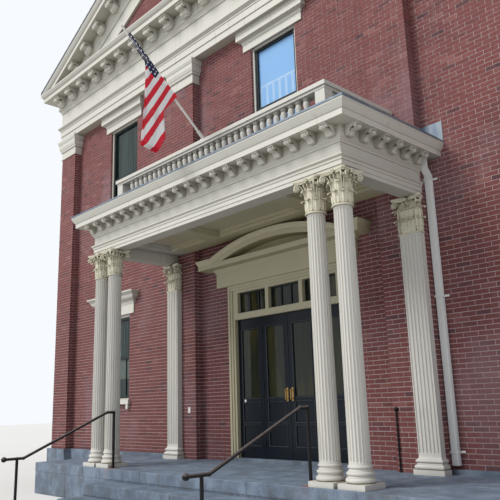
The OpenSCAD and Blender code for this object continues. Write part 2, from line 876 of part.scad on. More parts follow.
// A tapered and fluted shaft
module shaft() {
    h = shaft_top - col_base_h;
    lean = atan((shaft_r0 - shaft_r1) / h);
    low = 3 * flute_r;
    difference() {
        cylinder(r1 = shaft_r0, r2 = shaft_r1, h = h, $fn = 40);
        for (i = [0:flutes - 1])
            rotate([0, 0, (i + 0.5) * 360 / flutes]) translate([shaft_r0, 0, 0])
                rotate([0, -lean, 0]) translate([0, 0, low])
                    cylinder(r = flute_r, h = h - 2 * low, $fn = 16);
    }
}

module column_shafts() {
    color(cream) placed() at_columns() translate([0, 0, fz + col_base_h]) shaft();
}

// Leaf capital: a bell with two rows of curled leaves, corner scrolls and a hollow-sided abacus
cap_h = porch_arch_z - shaft_top;

// A thin shell that follows the bell from z0 up to z1 and curls outwards at its rim
module leaf_shell(r, z0, z1, out, t) {
    h = z1 - z0;
    rotate_extrude($fn = 64) polygon([[r - 6, z0], [r + t, z0], [r + t + 2, z0 + 0.6 * h],
        [r + 0.4 * out, z0 + 0.82 * h], [r + out, z0 + 0.8 * h], [r + out, z1],
        [r + 0.3 * out, z0 + 0.98 * h], [r - 6, z0 + 0.6 * h]]);
}

// A lobed leaf seen from the front, w wide and from z0 to z1
module leaf_face(w, z0, z1) {
    h = z1 - z0;
    rotate([90, 0, 90]) linear_extrude(2 * abacus_half) translate([0, z0]) polygon([
        [-0.34 * w, 0], [-0.5 * w, 0.4 * h], [-0.4 * w, 0.5 * h], [-0.46 * w, 0.76 * h],
        [-0.2 * w, h], [0.2 * w, h], [0.46 * w, 0.76 * h], [0.4 * w, 0.5 * h],
        [0.5 * w, 0.4 * h], [0.34 * w, 0]]);
}

module leaf_row(z0, z1, out, t, turn) {
    intersection() {
        leaf_shell(shaft_r1, z0, z1, out, t);
        for (i = [0:7])
            rotate([0, 0, turn + 45 * i]) leaf_face(0.72 * shaft_r1, z0, z1);
    }
}

// A square slab with hollow sides and cut corners
module abacus(half, h) {
    dip = 0.19 * half;
    r = (half * half * 0.74 + dip * dip) / (2 * dip);
    difference() {
        intersection() {
            translate([-half, -half, 0]) cube([2 * half, 2 * half, h]);
            rotate([0, 0, 45]) translate([-1.35 * half, -1.35 * half, 0])
                cube([2.7 * half, 2.7 * half, h]);
        }
        for (i = [0:3])
            rotate([0, 0, 90 * i]) translate([half - dip + r, 0, -1])
                cylinder(r = r, h = h + 2, $fn = 128);
    }
}

// One corner's pair of scrolls on their stalk, towards +X
module corner_scroll(r) {
    z = cap_h - abacus_h - r;
    x = 1.18 * abacus_half - r;
    translate([x, 0, z]) rotate([90, 0, 0]) cylinder(r = r, h = 1.3 * r, center = true, $fn = 32);
    translate([0.9 * shaft_r1, 0, 0.52 * cap_h]) rotate([0, 38, 0])
        translate([-0.3 * r, -0.45 * r, 0]) cube([0.6 * r, 0.9 * r, 0.34 * cap_h]);
}

module column_capital() {
    r = shaft_r1;
    bell = cap_h - abacus_h;
    union() {
        rotate_extrude($fn = 64) polygon([[0, 0], [r + 12, 0], [r + 18, 12], [r + 12, 24],
            [r, 26], [r, 0.55 * cap_h], [r + 10, 0.68 * cap_h], [r + 34, bell - 24],
            [r + 46, bell - 18], [r + 46, bell + 1], [0, bell + 1]]);
        leaf_row(24, 0.36 * cap_h, 34, 9, 22.5);
        leaf_row(24, 0.66 * cap_h, 44, 4, 0);
        for (i = [0:3]) {
            rotate([0, 0, 45 + 90 * i]) corner_scroll(0.08 * cap_h);
            rotate([0, 0, 90 * i]) translate([0.78 * abacus_half, 0, cap_h - 0.6 * abacus_h])
                sphere(r = 0.11 * abacus_half, $fn = 24);
        }
        translate([0, 0, bell]) abacus(0.92 * abacus_half, 0.5 * abacus_h);
        translate([0, 0, cap_h - 0.55 * abacus_h]) abacus(abacus_half, 0.55 * abacus_h);
    }
}

module column_capitals() {
    color(cream) placed() at_columns() translate([0, 0, fz + shaft_top]) column_capital();
}

module at_antae() {
    for (s = [-1, 1])
        translate([s * (inner_pil_out - anta_w / 2), -pilaster_p, 0]) children();
}

module antae() {
    w = anta_w / 2;
    pitch = anta_w / anta_flutes;
    top = anta_top - 3 * flute_r;
    low = col_base_h + 3 * flute_r;
    color(cream) placed() at_antae() translate([0, 0, fz]) {
        difference() {
            box(-w, w, -anta_p, 0, plinth_h, anta_top);
            for (i = [0:anta_flutes - 1])
                translate([-w + (i + 0.5) * pitch, -anta_p, low]) {
                    cylinder(r = flute_r, h = top - low, $fn = 24);
                    for (z = [0, top - low])
                        translate([0, 0, z]) sphere(r = 1.02 * flute_r, $fn = 24);
                }
        }
        box(-w - 62, w + 62, -anta_p - 62, 0, 0, plinth_h);
        u_run(w, anta_p, 0) polygon(concat([[0, plinth_h]], base_points));
    }
}

// A flat leaf w wide against the face y = 0, with its tip rolled outwards
module flat_leaf(w, h) {
    difference() {
        rotate([90, 0, 0]) linear_extrude(22) polygon([[-0.36 * w, 0], [-0.46 * w, 0.26 * h],
            [-0.38 * w, 0.32 * h], [-0.5 * w, 0.54 * h], [-0.4 * w, 0.6 * h],
            [-0.46 * w, 0.8 * h], [-0.26 * w, h], [0.26 * w, h], [0.46 * w, 0.8 * h],
            [0.4 * w, 0.6 * h], [0.5 * w, 0.54 * h], [0.38 * w, 0.32 * h],
            [0.46 * w, 0.26 * h], [0.36 * w, 0]]);
        for (s = [-1, 1])
            translate([s * 0.14 * w, -26, -1]) cylinder(r = 8, h = 0.8 * h, $fn = 16);
    }
    translate([0, -26, 0.9 * h]) rotate([0, 90, 0])
        cylinder(r = 0.12 * h, h = 0.6 * w, center = true, $fn = 24);
}

module anta_capital() {
    h = porch_arch_z - anta_top;
    w = anta_w / 2;
    p = anta_p;
    r = 0.08 * h;
    union() {
        box(-w, w, -p, 0, 0, h - abacus_h + 1);
        u_run(w, p, 0) polygon([[0, 0], [12, 0], [18, 12], [12, 24], [0, 26]]);
        for (x = [-1, 0, 1] * anta_w / 3)
            translate([x, -p, 24]) flat_leaf(anta_w / 3.2, 0.3 * h);
        for (x = [-1, 1] * anta_w / 4.4)
            translate([x, -p, 24]) flat_leaf(anta_w / 4, 0.58 * h);
        for (s = [-1, 1]) {
            translate([s * w, -p / 2, 24]) rotate([0, 0, s * 90]) flat_leaf(0.8 * p, 0.58 * h);
            translate([s * (w + r), -p - r, h - abacus_h - r]) rotate([90, 0, s * 45])
                cylinder(r = r, h = 1.4 * r, center = true, $fn = 32);
            translate([s * w - 0.6 * r, -p - 0.6 * r, 0.6 * h])
                cube([1.2 * r, 1.2 * r, 0.4 * h - abacus_h]);
        }
        box(-w - 46, w + 46, -p - 46, 0, h - abacus_h, h - 0.5 * abacus_h);
        box(-w - 62, w + 62, -p - 62, 0, h - 0.5 * abacus_h, h);
    }
}

module anta_capitals() {
    color(cream) placed() at_antae() translate([0, 0, fz + anta_top]) anta_capital();
}

// Porch entablature: a front run and two side runs, mitred

face_x = outer_col_x + porch_face;
face_y = col_y + porch_face;

module porch_run() {
    u_run(face_x, face_y, -pilaster_p, beam_t) children();
}

module porch_entablature_section() {
    polygon([[-beam_t, porch_z0], [0, porch_z0], [0, porch_z0 + 55], [10, porch_z0 + 55],
        [10, porch_z0 + 120], [20, porch_z0 + 120], [24, porch_z1 - 40], [48, porch_z1 - 18],
        [48, porch_z1], [0, porch_z1], [0, porch_z2], [-beam_t, porch_z2]]);
}

module porch_entablature() {
    color(cream) placed() porch_run() porch_entablature_section();
}

module porch_cornice_section() {
    c = porch_cornice_p;
    polygon([[-beam_t, porch_z2], [12, porch_z2], [16, porch_z2 + 20], [48, porch_z2 + 60],
        [48, porch_z3], [c - 62, porch_z3], [c - 62, porch_z3 + 80], [c - 52, porch_z3 + 84],
        [c - 30, porch_z3 + 120], [c - 4, porch_z4 - 30], [c, porch_z4 - 26], [c, porch_z4],
        [-beam_t, porch_z4]]);
}

module porch_cornice() {
    color(cream) placed() {
        porch_run() porch_cornice_section();
        for (s = [0, 1])
            mirror([s, 0, 0]) intersection() {
                translate([face_x, 0, 0]) run_y(-pilaster_p - 1, 0) porch_cornice_section();
                box(inner_pil_out, face_x + porch_cornice_p + 1, -pilaster_p - 2, 1,
                    porch_z3, porch_z4);
            }
    }
}

module porch_modillions() {
    d = porch_cornice_p - 62 - 48 - 20;
    h = porch_bed_h - 72;
    first = -face_y + 0.3 * porch_mod_step;
    color(cream) placed() {
        for (x = mod_places(face_x + 120, porch_mod_step))
            translate([x, -face_y - 48, porch_z3 - seat]) modillion(d, h, porch_mod_w);
        for (s = [-1, 1])
            for (y = [first:porch_mod_step:-pilaster_p - 100])
                translate([s * (face_x + 48), y, porch_z3 - seat]) rotate([0, 0, s * 90])
                    modillion(d, h, porch_mod_w);
    }
}

// Ribbed ceiling with three sunk panels
module porch_ceiling() {
    x = face_x - beam_t;
    y0 = -face_y + beam_t;
    y1 = -pilaster_p - rib_w;
    color(cream) placed() difference() {
        box(-x, x, y0, -pilaster_p, porch_z1, porch_z1 + ceiling_t);
        for (p = [[-x + 0.6 * rib_w, -rib_x - rib_w / 2], [-rib_x + rib_w / 2, rib_x - rib_w / 2],
                [rib_x + rib_w / 2, x - 0.6 * rib_w]]) {
            box(p[0], p[1], y0 + 0.4 * rib_w, y1, porch_z1 - 1, porch_z1 + 0.4 * ceiling_t);
            box(p[0] + 50, p[1] - 50, y0 + 0.4 * rib_w + 50, y1 - 50,
                porch_z1 - 1, porch_z1 + ceiling_t - 20);
        }
    }
}

module porch_roof() {
    x = face_x + porch_cornice_p + 10;
    color("darkseagreen") placed()
        box(-x, x, -face_y - porch_cornice_p - 10, -pilaster_p, porch_z4, porch_z4 + 25);
}

// Balcony rail

deck_z = porch_z4 + 25;
rail_z = deck_z + balustrade_h;

// A rail round three sides of the balcony, w wide about the balusters' line
module rail_u(w, z0, z1) {
    m = (rail_w - w) / 2;
    difference() {
        box(-rail_x + m, rail_x - m, -rail_y + m, -pilaster_p, z0, z1);
        box(-rail_x + m + w, rail_x - m - w, -rail_y + m + w, 1 - pilaster_p, z0 - 1, z1 + 1);
    }
}

module balustrade_rails() {
    color(cream) placed() {
        rail_u(rail_w, rail_z - 0.6 * rail_h, rail_z);
        rail_u(0.8 * rail_w, rail_z - rail_h, rail_z - 0.6 * rail_h);
        rail_u(0.75 * rail_w, deck_z, deck_z + rail_h);
        for (s = [-1, 1])
            for (y = [-rail_y + rail_w / 2, -pilaster_p - pedestal_w / 2])
                translate([s * (rail_x - rail_w / 2), y, 0])
                    box(-pedestal_w / 2, pedestal_w / 2, -pedestal_w / 2, pedestal_w / 2,
                        deck_z, rail_z - rail_h);
    }
}

// One turned baluster between the rails
module baluster(h) {
    r = baluster_r;
    rotate_extrude($fn = 24) polygon([[0, 0], [r, 0], [r, 0.07 * h], [0.8 * r, 0.1 * h],
        [0.92 * r, 0.2 * h], [r, 0.28 * h], [0.86 * r, 0.4 * h], [0.6 * r, 0.5 * h],
        [0.52 * r, 0.58 * h], [0.56 * r, 0.66 * h], [0.76 * r, 0.78 * h], [0.82 * r, 0.84 * h],
        [0.7 * r, 0.9 * h], [0.6 * r, 0.92 * h], [0.84 * r, 0.94 * h], [0.84 * r, h], [0, h]]);
}

module balusters() {
    h = balustrade_h - 2 * rail_h;
    m = rail_w / 2;
    nx = floor((rail_x - m - pedestal_w) / baluster_step);
    y0 = -rail_y + m;
    y1 = -pilaster_p - pedestal_w / 2;
    ny = floor((y1 - y0 - pedestal_w) / baluster_step - 0.3);
    step_y = (y1 - y0) / (ny + 1);
    color(cream) placed() translate([0, 0, deck_z + rail_h]) {
        for (i = [-nx:nx])
            translate([i * baluster_step, y0, 0]) baluster(h);
        for (s = [-1, 1])
            for (i = [1:ny])
                translate([s * (rail_x - m), y0 + i * step_y, 0]) baluster(h);
    }
}

module roof_flashing() {
    x0 = inner_pil_out;
    x1 = face_x + porch_cornice_p;
    color("lightslategray") placed() for (s = [0, 1])
        mirror([s, 0, 0]) {
            box(x0, x1, -pilaster_p, 0, porch_z4, porch_z4 + 25);
            box(x0, x1, -12, 0, porch_z4 + 25, porch_z4 + 330);
        }
}

module downspout() {
    w = pipe_w;
    half = [0.35 * w, 0];
    high = [-1.5 * w, porch_z3 - seat];
    bend = [high[0], porch_z2 + 70];
    low = [-0.5 * w, porch_z2 - 30];
    foot = [low[0], base_top + 0.5 * w];
    line = [high, bend, low, foot];
    color(cream) placed() translate([downspout_x, 0, 0]) union() {
        translate([-w / 2, 0, 0]) rotate([90, 0, 90]) linear_extrude(w)
            polygon([for (p = line) p - half, for (i = [3:-1:0]) line[i] + half]);
        for (z = [base_top + 200, fz + 2300, low[1] - 80])
            box(-0.65 * w, 0.65 * w, -0.95 * w, 0, z, z + 30);
    }
}

// Entrance

module door_frame() {
    t = leaf_in + door_frame_t - 60;
    out = door_frame_w / 3;
    color(cream) placed() difference() {
        box(-frame_half, frame_half, -30, t, fz + sill_h, frame_top);
        box(-frame_half + out, frame_half - out, -31, -14, fz + sill_h - 1, frame_top - out);
        box(-door_half - out, door_half + out, -31, 6, fz + sill_h - 1, frame_top - 2 * out);
        box(-door_half, door_half, -31, t + 1, fz + sill_h - 1, leaf_z1 + leaf_gap);
        for (x = light_xs)
            box(x - light_w / 2, x + light_w / 2, -31, t + 1, fz + light_z, fz + light_top);
    }
}

light_half = door_half - 82;
light_w = (2 * light_half - 160) / 3;
light_xs = [-light_w - 80, 0, light_w + 80];

// Dark frames with two bars in the lights over the leaves
light_bar = 26;

module light_panes(y0, y1) {
    w = (light_w - light_bar) / 3;
    for (x = light_xs)
        for (i = [-1, 0, 1])
            translate([x + i * w, 0, 0]) box(-(w - light_bar) / 2, (w - light_bar) / 2, y0, y1,
                fz + light_z + light_bar, fz + light_top - light_bar);
}

module transom_sashes() {
    color(dark) placed() difference() {
        for (x = light_xs)
            box(x - light_w / 2, x + light_w / 2, leaf_in, leaf_in + leaf_t,
                fz + light_z, fz + light_top);
        light_panes(leaf_in - 1, leaf_in + leaf_t + 1);
    }
}

// The hood over the door: a board, a straight cornice, and its crown carried up as an arch
hood_z0 = board_top - 50;
hood_z1 = board_top + 13;
hood_z2 = hood_z1 + 92;
hood_z3 = hood_z2 + 92;
arch_r = (door_arch_half * door_arch_half + door_arch_rise * door_arch_rise)
    / (2 * door_arch_rise);
crown_d = door_board_t + door_hood_p;

module door_hood() {
    half = door_board_half;
    t = door_board_t;
    p = door_hood_p;
    ends = half + p + 1;
    color(cream) placed() union() {
        moulded_board(half, t, frame_top, hood_z2) polygon([[-1, hood_z0], [0.04 * p, hood_z0],
            [0.06 * p, hood_z0 + 14], [0.15 * p, hood_z0 + 44], [0.19 * p, hood_z1],
            [0.86 * p, hood_z1], [0.86 * p, hood_z2], [-1, hood_z2]]);
        intersection() {
            moulded_board(half, t, hood_z2 - 1, hood_z3) polygon([[-1, hood_z2 - 1],
                [0.86 * p, hood_z2 - 1], [0.88 * p, hood_z2 + 10], [0.95 * p, hood_z2 + 50],
                [0.99 * p, hood_z3 - 16], [p, hood_z3 - 12], [p, hood_z3], [-1, hood_z3]]);
            for (s = [-1, 1])
                box(min(s * ends, s * door_arch_half), max(s * ends, s * door_arch_half),
                    -crown_d - 1, 1, hood_z2 - 2, hood_z3 + 1);
        }
        intersection() {
            translate([0, 0, hood_z3 + door_arch_rise - arch_r]) rotate([90, 0, 0]) {
                rotate_extrude($fn = 256) polygon([[arch_r - 170, 0],
                    [arch_r - 170, 0.86 * crown_d], [arch_r - 92, 0.86 * crown_d],
                    [arch_r - 80, 0.9 * crown_d], [arch_r - 40, 0.95 * crown_d],
                    [arch_r - 16, 0.99 * crown_d], [arch_r - 12, crown_d], [arch_r, crown_d],
                    [arch_r, 0]]);
                cylinder(r = arch_r - 100, h = t, $fn = 256);
            }
            box(-door_arch_half - 60, door_arch_half + 60, -crown_d - 1, 0, hood_z2 - 1,
                hood_z3 + door_arch_rise + 1);
        }
    }
}

// One panelled leaf from x = 0 to w, its front face at y = 0
module leaf(w) {
    h = leaf_z1 - leaf_z0;
    difference() {
        cube([w, leaf_t, h]);
        translate([stile_w, -1, 0.42 * h]) cube([w - 2 * stile_w, leaf_t + 2, 0.5 * h]);
        for (z = [0.09, 0.25])
            for (y = [-1, leaf_t - 12])
                translate([stile_w, y, z * h]) cube([w - 2 * stile_w, 13, 0.13 * h]);
    }
}

module leaf_pane(w) {
    h = leaf_z1 - leaf_z0;
    translate([stile_w, leaf_t / 2 - 4, 0.42 * h]) cube([w - 2 * stile_w, 8, 0.5 * h]);
}

hinged_w = leaf_w - leaf_gap - 0.7 * leaf_gap;
hinge_xs = [0.1, 0.5, 0.9];

// A hinged leaf with its three hinge barrels, which turn on the line between the leaves
module hinged_leaf() {
    h = leaf_z1 - leaf_z0;
    union() {
        leaf(hinged_w);
        for (f = hinge_xs)
            translate([-leaf_gap / 2, -hinge_r - 0.3, f * h - hinge_len / 2]) {
                cylinder(r = hinge_r, h = hinge_len, $fn = 24);
                translate([0, -1, 0]) cube([leaf_gap / 2 + 14, hinge_r + 2, hinge_len]);
            }
    }
}

module fixed_leaves() {
    color(dark) placed() for (s = [0, 1])
        mirror([s, 0, 0]) translate([-door_half, leaf_in, leaf_z0]) union() {
            leaf(leaf_w);
            translate([0, 0, -leaf_gap]) cube([leaf_w, leaf_t, leaf_gap + 1]);
            translate([0, 0, leaf_z1 - leaf_z0 - 1]) cube([leaf_w, leaf_t, leaf_gap + 1]);
        }
}

module entrance_glass() {
    color("lightblue") placed() {
        for (s = [0, 1])
            mirror([s, 0, 0]) translate([-door_half, leaf_in, leaf_z0]) leaf_pane(leaf_w);
        light_panes(leaf_in + 20, leaf_in + 28);
    }
}

module hinged(s) {
    placed() mirror([s, 0, 0]) translate([-leaf_w + leaf_gap, leaf_in, leaf_z0]) children();
}

module door_left() {
    color(dark) hinged(0) hinged_leaf();
}

module door_right() {
    color(dark) hinged(1) hinged_leaf();
}

module door_left_glass() {
    color("lightblue") hinged(0) leaf_pane(hinged_w);
}

module door_right_glass() {
    color("lightblue") hinged(1) leaf_pane(hinged_w);
}

module handle() {
    z = fz + 1100 - leaf_z0;
    translate([hinged_w - 55, 0, z]) {
        box(-22, 22, -8, 0, -110, 110);
        for (e = [-70, 70])
            translate([0, -7, e]) rotate([90, 0, 0]) cylinder(r = 7, h = 50, $fn = 24);
        translate([0, -57, -85]) cylinder(r = 10, h = 170, $fn = 24);
    }
}

module door_left_handle() {
    color("goldenrod") hinged(0) handle();
}

module door_right_handle() {
    color("goldenrod") hinged(1) handle();
}

// Rails and flag

module pipe(a, b) {
    d = b - a;
    l = norm(d);
    translate(a) rotate([0, acos(d[2] / l), atan2(d[1], d[0])])
        cylinder(r = pipe_r, h = l, $fn = 24);
}

module handrail() {
    top = fz + hand_h;
    p0 = [0, -hand_y, top];
    p1 = [0, -hand_kink_y, top];
    p2 = [0, -hand_low_y, hand_low_z];
    p3 = [0, -hand_end_y, hand_low_z];
    union() {
        pipe([0, -hand_y, fz], p0);
        pipe(p0, p1);
        pipe(p1, p2);
        pipe(p2, p3);
        pipe([0, -hand_post_y, 0], [0, -hand_post_y, hand_low_z]);
        for (p = [p0, p1, p2, [0, -hand_post_y, hand_low_z]])
            translate(p) sphere(r = 1.2 * pipe_r, $fn = 24);
        translate(p3) sphere(r = knob_r, $fn = 24);
    }
}

module handrails() {
    color("dimgray") placed() for (s = [-1, 1])
        translate([s * hand_x, 0, 0]) handrail();
}

// The flagpole stands on the middle of the handrail and leans out over the porch
pole_foot = [0, -rail_y + 60, rail_z + seat];

module along_pole() {
    translate(pole_foot) rotate([90 - pole_angle, 0, 0]) children();
}

module flagpole() {
    color("whitesmoke") placed() union() {
        intersection() {
            along_pole() translate([0, 0, -pole_r]) cylinder(r = pole_r, h = pole_len + pole_r, $fn = 24);
            translate(pole_foot) box(-pole_len, pole_len, -pole_len, 60, 0, pole_len);
        }
        translate(pole_foot) box(-50, 50, -55, 60, 0, 12);
        intersection() {
            along_pole() cylinder(r = pole_r + 9, h = 180, $fn = 24);
            translate(pole_foot) box(-60, 60, -300, 60, 0, 300);
        }
    }
}

// The flag hangs furled under the pole, its hoist along the outer end
module flag() {
    c = cos(pole_angle);
    n = sin(pole_angle);
    drop = pole_r + 0.3;
    top = pole_foot + (pole_len - 60) * [0, -c, n] - drop * [0, n, c];
    low = top + flag_hoist * [0, c, -n];
    color("firebrick") placed() translate([-flag_t / 2, 0, 0]) rotate([90, 0, 90])
        linear_extrude(flag_t) polygon(concat(
            [[top[1], top[2]], [low[1], low[2]]],
            [for (p = flag_edge) [top[1] + p[0], top[2] - p[1]]]));
}

granite_base();
porch_floor();
step_upper();
step_lower();
front_wall_left();
front_wall_right();
front_wall_over_door();
side_wall_left();
side_wall_right();
rear_wall();
front_gable();
rear_gable();
ground_floor();
upper_floor();
roof_left();
roof_right();
main_entablature();
main_cornice();
cornice_modillions();
raking_cornices();
pilaster_capitals();
window_hoods();
window_frames();
window_sashes();
window_glass();
column_bases();
column_shafts();
column_capitals();
antae();
anta_capitals();
porch_entablature();
porch_cornice();
porch_modillions();
porch_ceiling();
porch_roof();
balustrade_rails();
balusters();
roof_flashing();
downspout();
door_frame();
transom_sashes();
door_hood();
fixed_leaves();
entrance_glass();
door_left();
door_right();
door_left_glass();
door_right_glass();
door_left_handle();
door_right_handle();
handrails();
flagpole();
flag();
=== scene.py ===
"""Finishes, masonry, carving, cloth, light and camera for a brick town hall.

Pieces are drawn in the front's own frame: x along the front from the middle of the entrance,
y from the brick face of the front wall inwards, z up from the ground. Moved back by MIDDLE they
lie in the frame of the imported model. All sizes are metres.
"""

import json
import logging
import math
import random
from dataclasses import dataclass, field
from enum import Enum
from typing import Callable, Iterable, Optional, Sequence, Union

import bmesh
import bpy
from mathutils import Matrix, Vector


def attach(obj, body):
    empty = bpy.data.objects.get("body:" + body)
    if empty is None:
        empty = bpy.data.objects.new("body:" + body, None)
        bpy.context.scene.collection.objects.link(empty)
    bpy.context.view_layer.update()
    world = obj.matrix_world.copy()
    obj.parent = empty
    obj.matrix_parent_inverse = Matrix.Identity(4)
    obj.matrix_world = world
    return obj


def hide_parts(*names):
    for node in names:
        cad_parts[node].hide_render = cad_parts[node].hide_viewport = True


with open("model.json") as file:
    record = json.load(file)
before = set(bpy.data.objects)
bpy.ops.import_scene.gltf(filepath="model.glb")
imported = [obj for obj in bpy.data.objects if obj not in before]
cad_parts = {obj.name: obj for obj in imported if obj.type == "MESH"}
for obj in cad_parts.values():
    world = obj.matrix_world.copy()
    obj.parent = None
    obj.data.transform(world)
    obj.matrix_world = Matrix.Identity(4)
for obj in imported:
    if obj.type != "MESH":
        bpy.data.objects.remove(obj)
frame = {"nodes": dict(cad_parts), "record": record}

LOG = logging.getLogger("town_hall")

Colour = tuple[float, float, float]
Point = tuple[float, float, float]
Span = tuple[float, float]
Hole = tuple[float, float, float, float]
Value = Union[float, Sequence[float], "Signal"]
Sockets = dict[Union[int, str], Value]
Groups = dict["Effect", bpy.types.NodeTree]

# Plan of the building
MIDDLE = 9.41605
DEPTH = 22.0
HALF = 7.93
WALL_X = 7.75
PILASTER = 0.18
CORNER_W = 0.701
INNER_IN = 2.195
INNER_OUT = 2.943
SIDE_BAYS = 5
SIDE_PITCH = (DEPTH + 2 * PILASTER - CORNER_W) / SIDE_BAYS
ACROSS = Vector((1.0, 0.0, 0.0))
BACK = Vector((0.0, 1.0, 0.0))

# Heights, cornice and roof
FLOOR = 0.555
BASE_TOP = 0.615
ARCH_Z = FLOOR + 8.135
CORNICE_TOP = FLOOR + 9.573
CORNICE_OUT = 0.492
EAVE_X = HALF + CORNICE_OUT
SLOPE = 0.5
PITCH = math.atan(SLOPE)
ROOF_LIFT = 0.08
RIDGE_TOP = CORNICE_TOP + ROOF_LIFT + EAVE_X * SLOPE
ROOF_Y = (-PILASTER - CORNICE_OUT, DEPTH + PILASTER + CORNICE_OUT)

# Openings and rails
WINDOW_W = 1.17
UPPER_X = (-5.12, 0.0, 5.12)
LOWER_X = (-5.35, 0.0, 5.35)
UPPER_WINDOW = (FLOOR + 5.09, FLOOR + 7.74)
LOWER_WINDOW = (FLOOR + 1.12, FLOOR + 3.02)
DOOR_FRAME_HALF = 1.4
DOOR_FRAME_TOP = FLOOR + 3.117
POLE_SLOPE = math.radians(42.0)
RAIL_POSTS = tuple((s * 2.185, -y - MIDDLE, z) for s in (-1, 1) for y, z in ((1.95, FLOOR), (3.6, 0.0)))


class Slot(Enum):
    """Material slots of the record that the pieces take their finish from."""

    BRICK = "brick"
    GRANITE = "granite"
    BOARDS = "floor_boards"
    SLATE = "roof_slate"
    METAL = "sheet_metal"
    TRIM = "trim_paint"
    COLUMN = "column_paint"
    PORCH = "porch_paint"
    SASH = "sash_paint"
    PANE = "window_pane"
    DOOR = "door_paint"
    BRASS = "door_brass"
    RAIL = "rail_paint"
    POLE = "pole_paint"
    PIPE = "pipe_paint"
    CLOTH = "flag_cloth"


class Effect(Enum):
    """Shared effects that several finishes place with their own values."""

    WEATHER = "weather"
    GRAIN = "grain"


# Shader wiring


class Signal:
    """A node's output, with the arithmetic that the finishes are written in."""

    def __init__(self, wiring: "Wiring", socket: bpy.types.NodeSocket) -> None:
        """Keep the output and the wiring it belongs to."""
        self.wiring = wiring
        self.socket = socket

    def maths(self, operation: str, other: Value = 0.0) -> "Signal":
        """Return the result of a Math node on this value and another."""
        return self.wiring.maths(operation, self, other)

    def __add__(self, other: Value) -> "Signal":
        """Return the sum."""
        return self.maths("ADD", other)

    def __sub__(self, other: Value) -> "Signal":
        """Return the difference."""
        return self.maths("SUBTRACT", other)

    def __rsub__(self, other: float) -> "Signal":
        """Return a number less this value."""
        return self.wiring.maths("SUBTRACT", other, self)

    def __mul__(self, other: Value) -> "Signal":
        """Return the product."""
        return self.maths("MULTIPLY", other)

    def __abs__(self) -> "Signal":
        """Return the value without its sign."""
        return self.maths("ABSOLUTE")

    def __lt__(self, other: Value) -> "Signal":
        """Return 1 where the value is less, else 0."""
        return self.maths("LESS_THAN", other)

    def __gt__(self, other: Value) -> "Signal":
        """Return 1 where the value is greater, else 0."""
        return self.maths("GREATER_THAN", other)


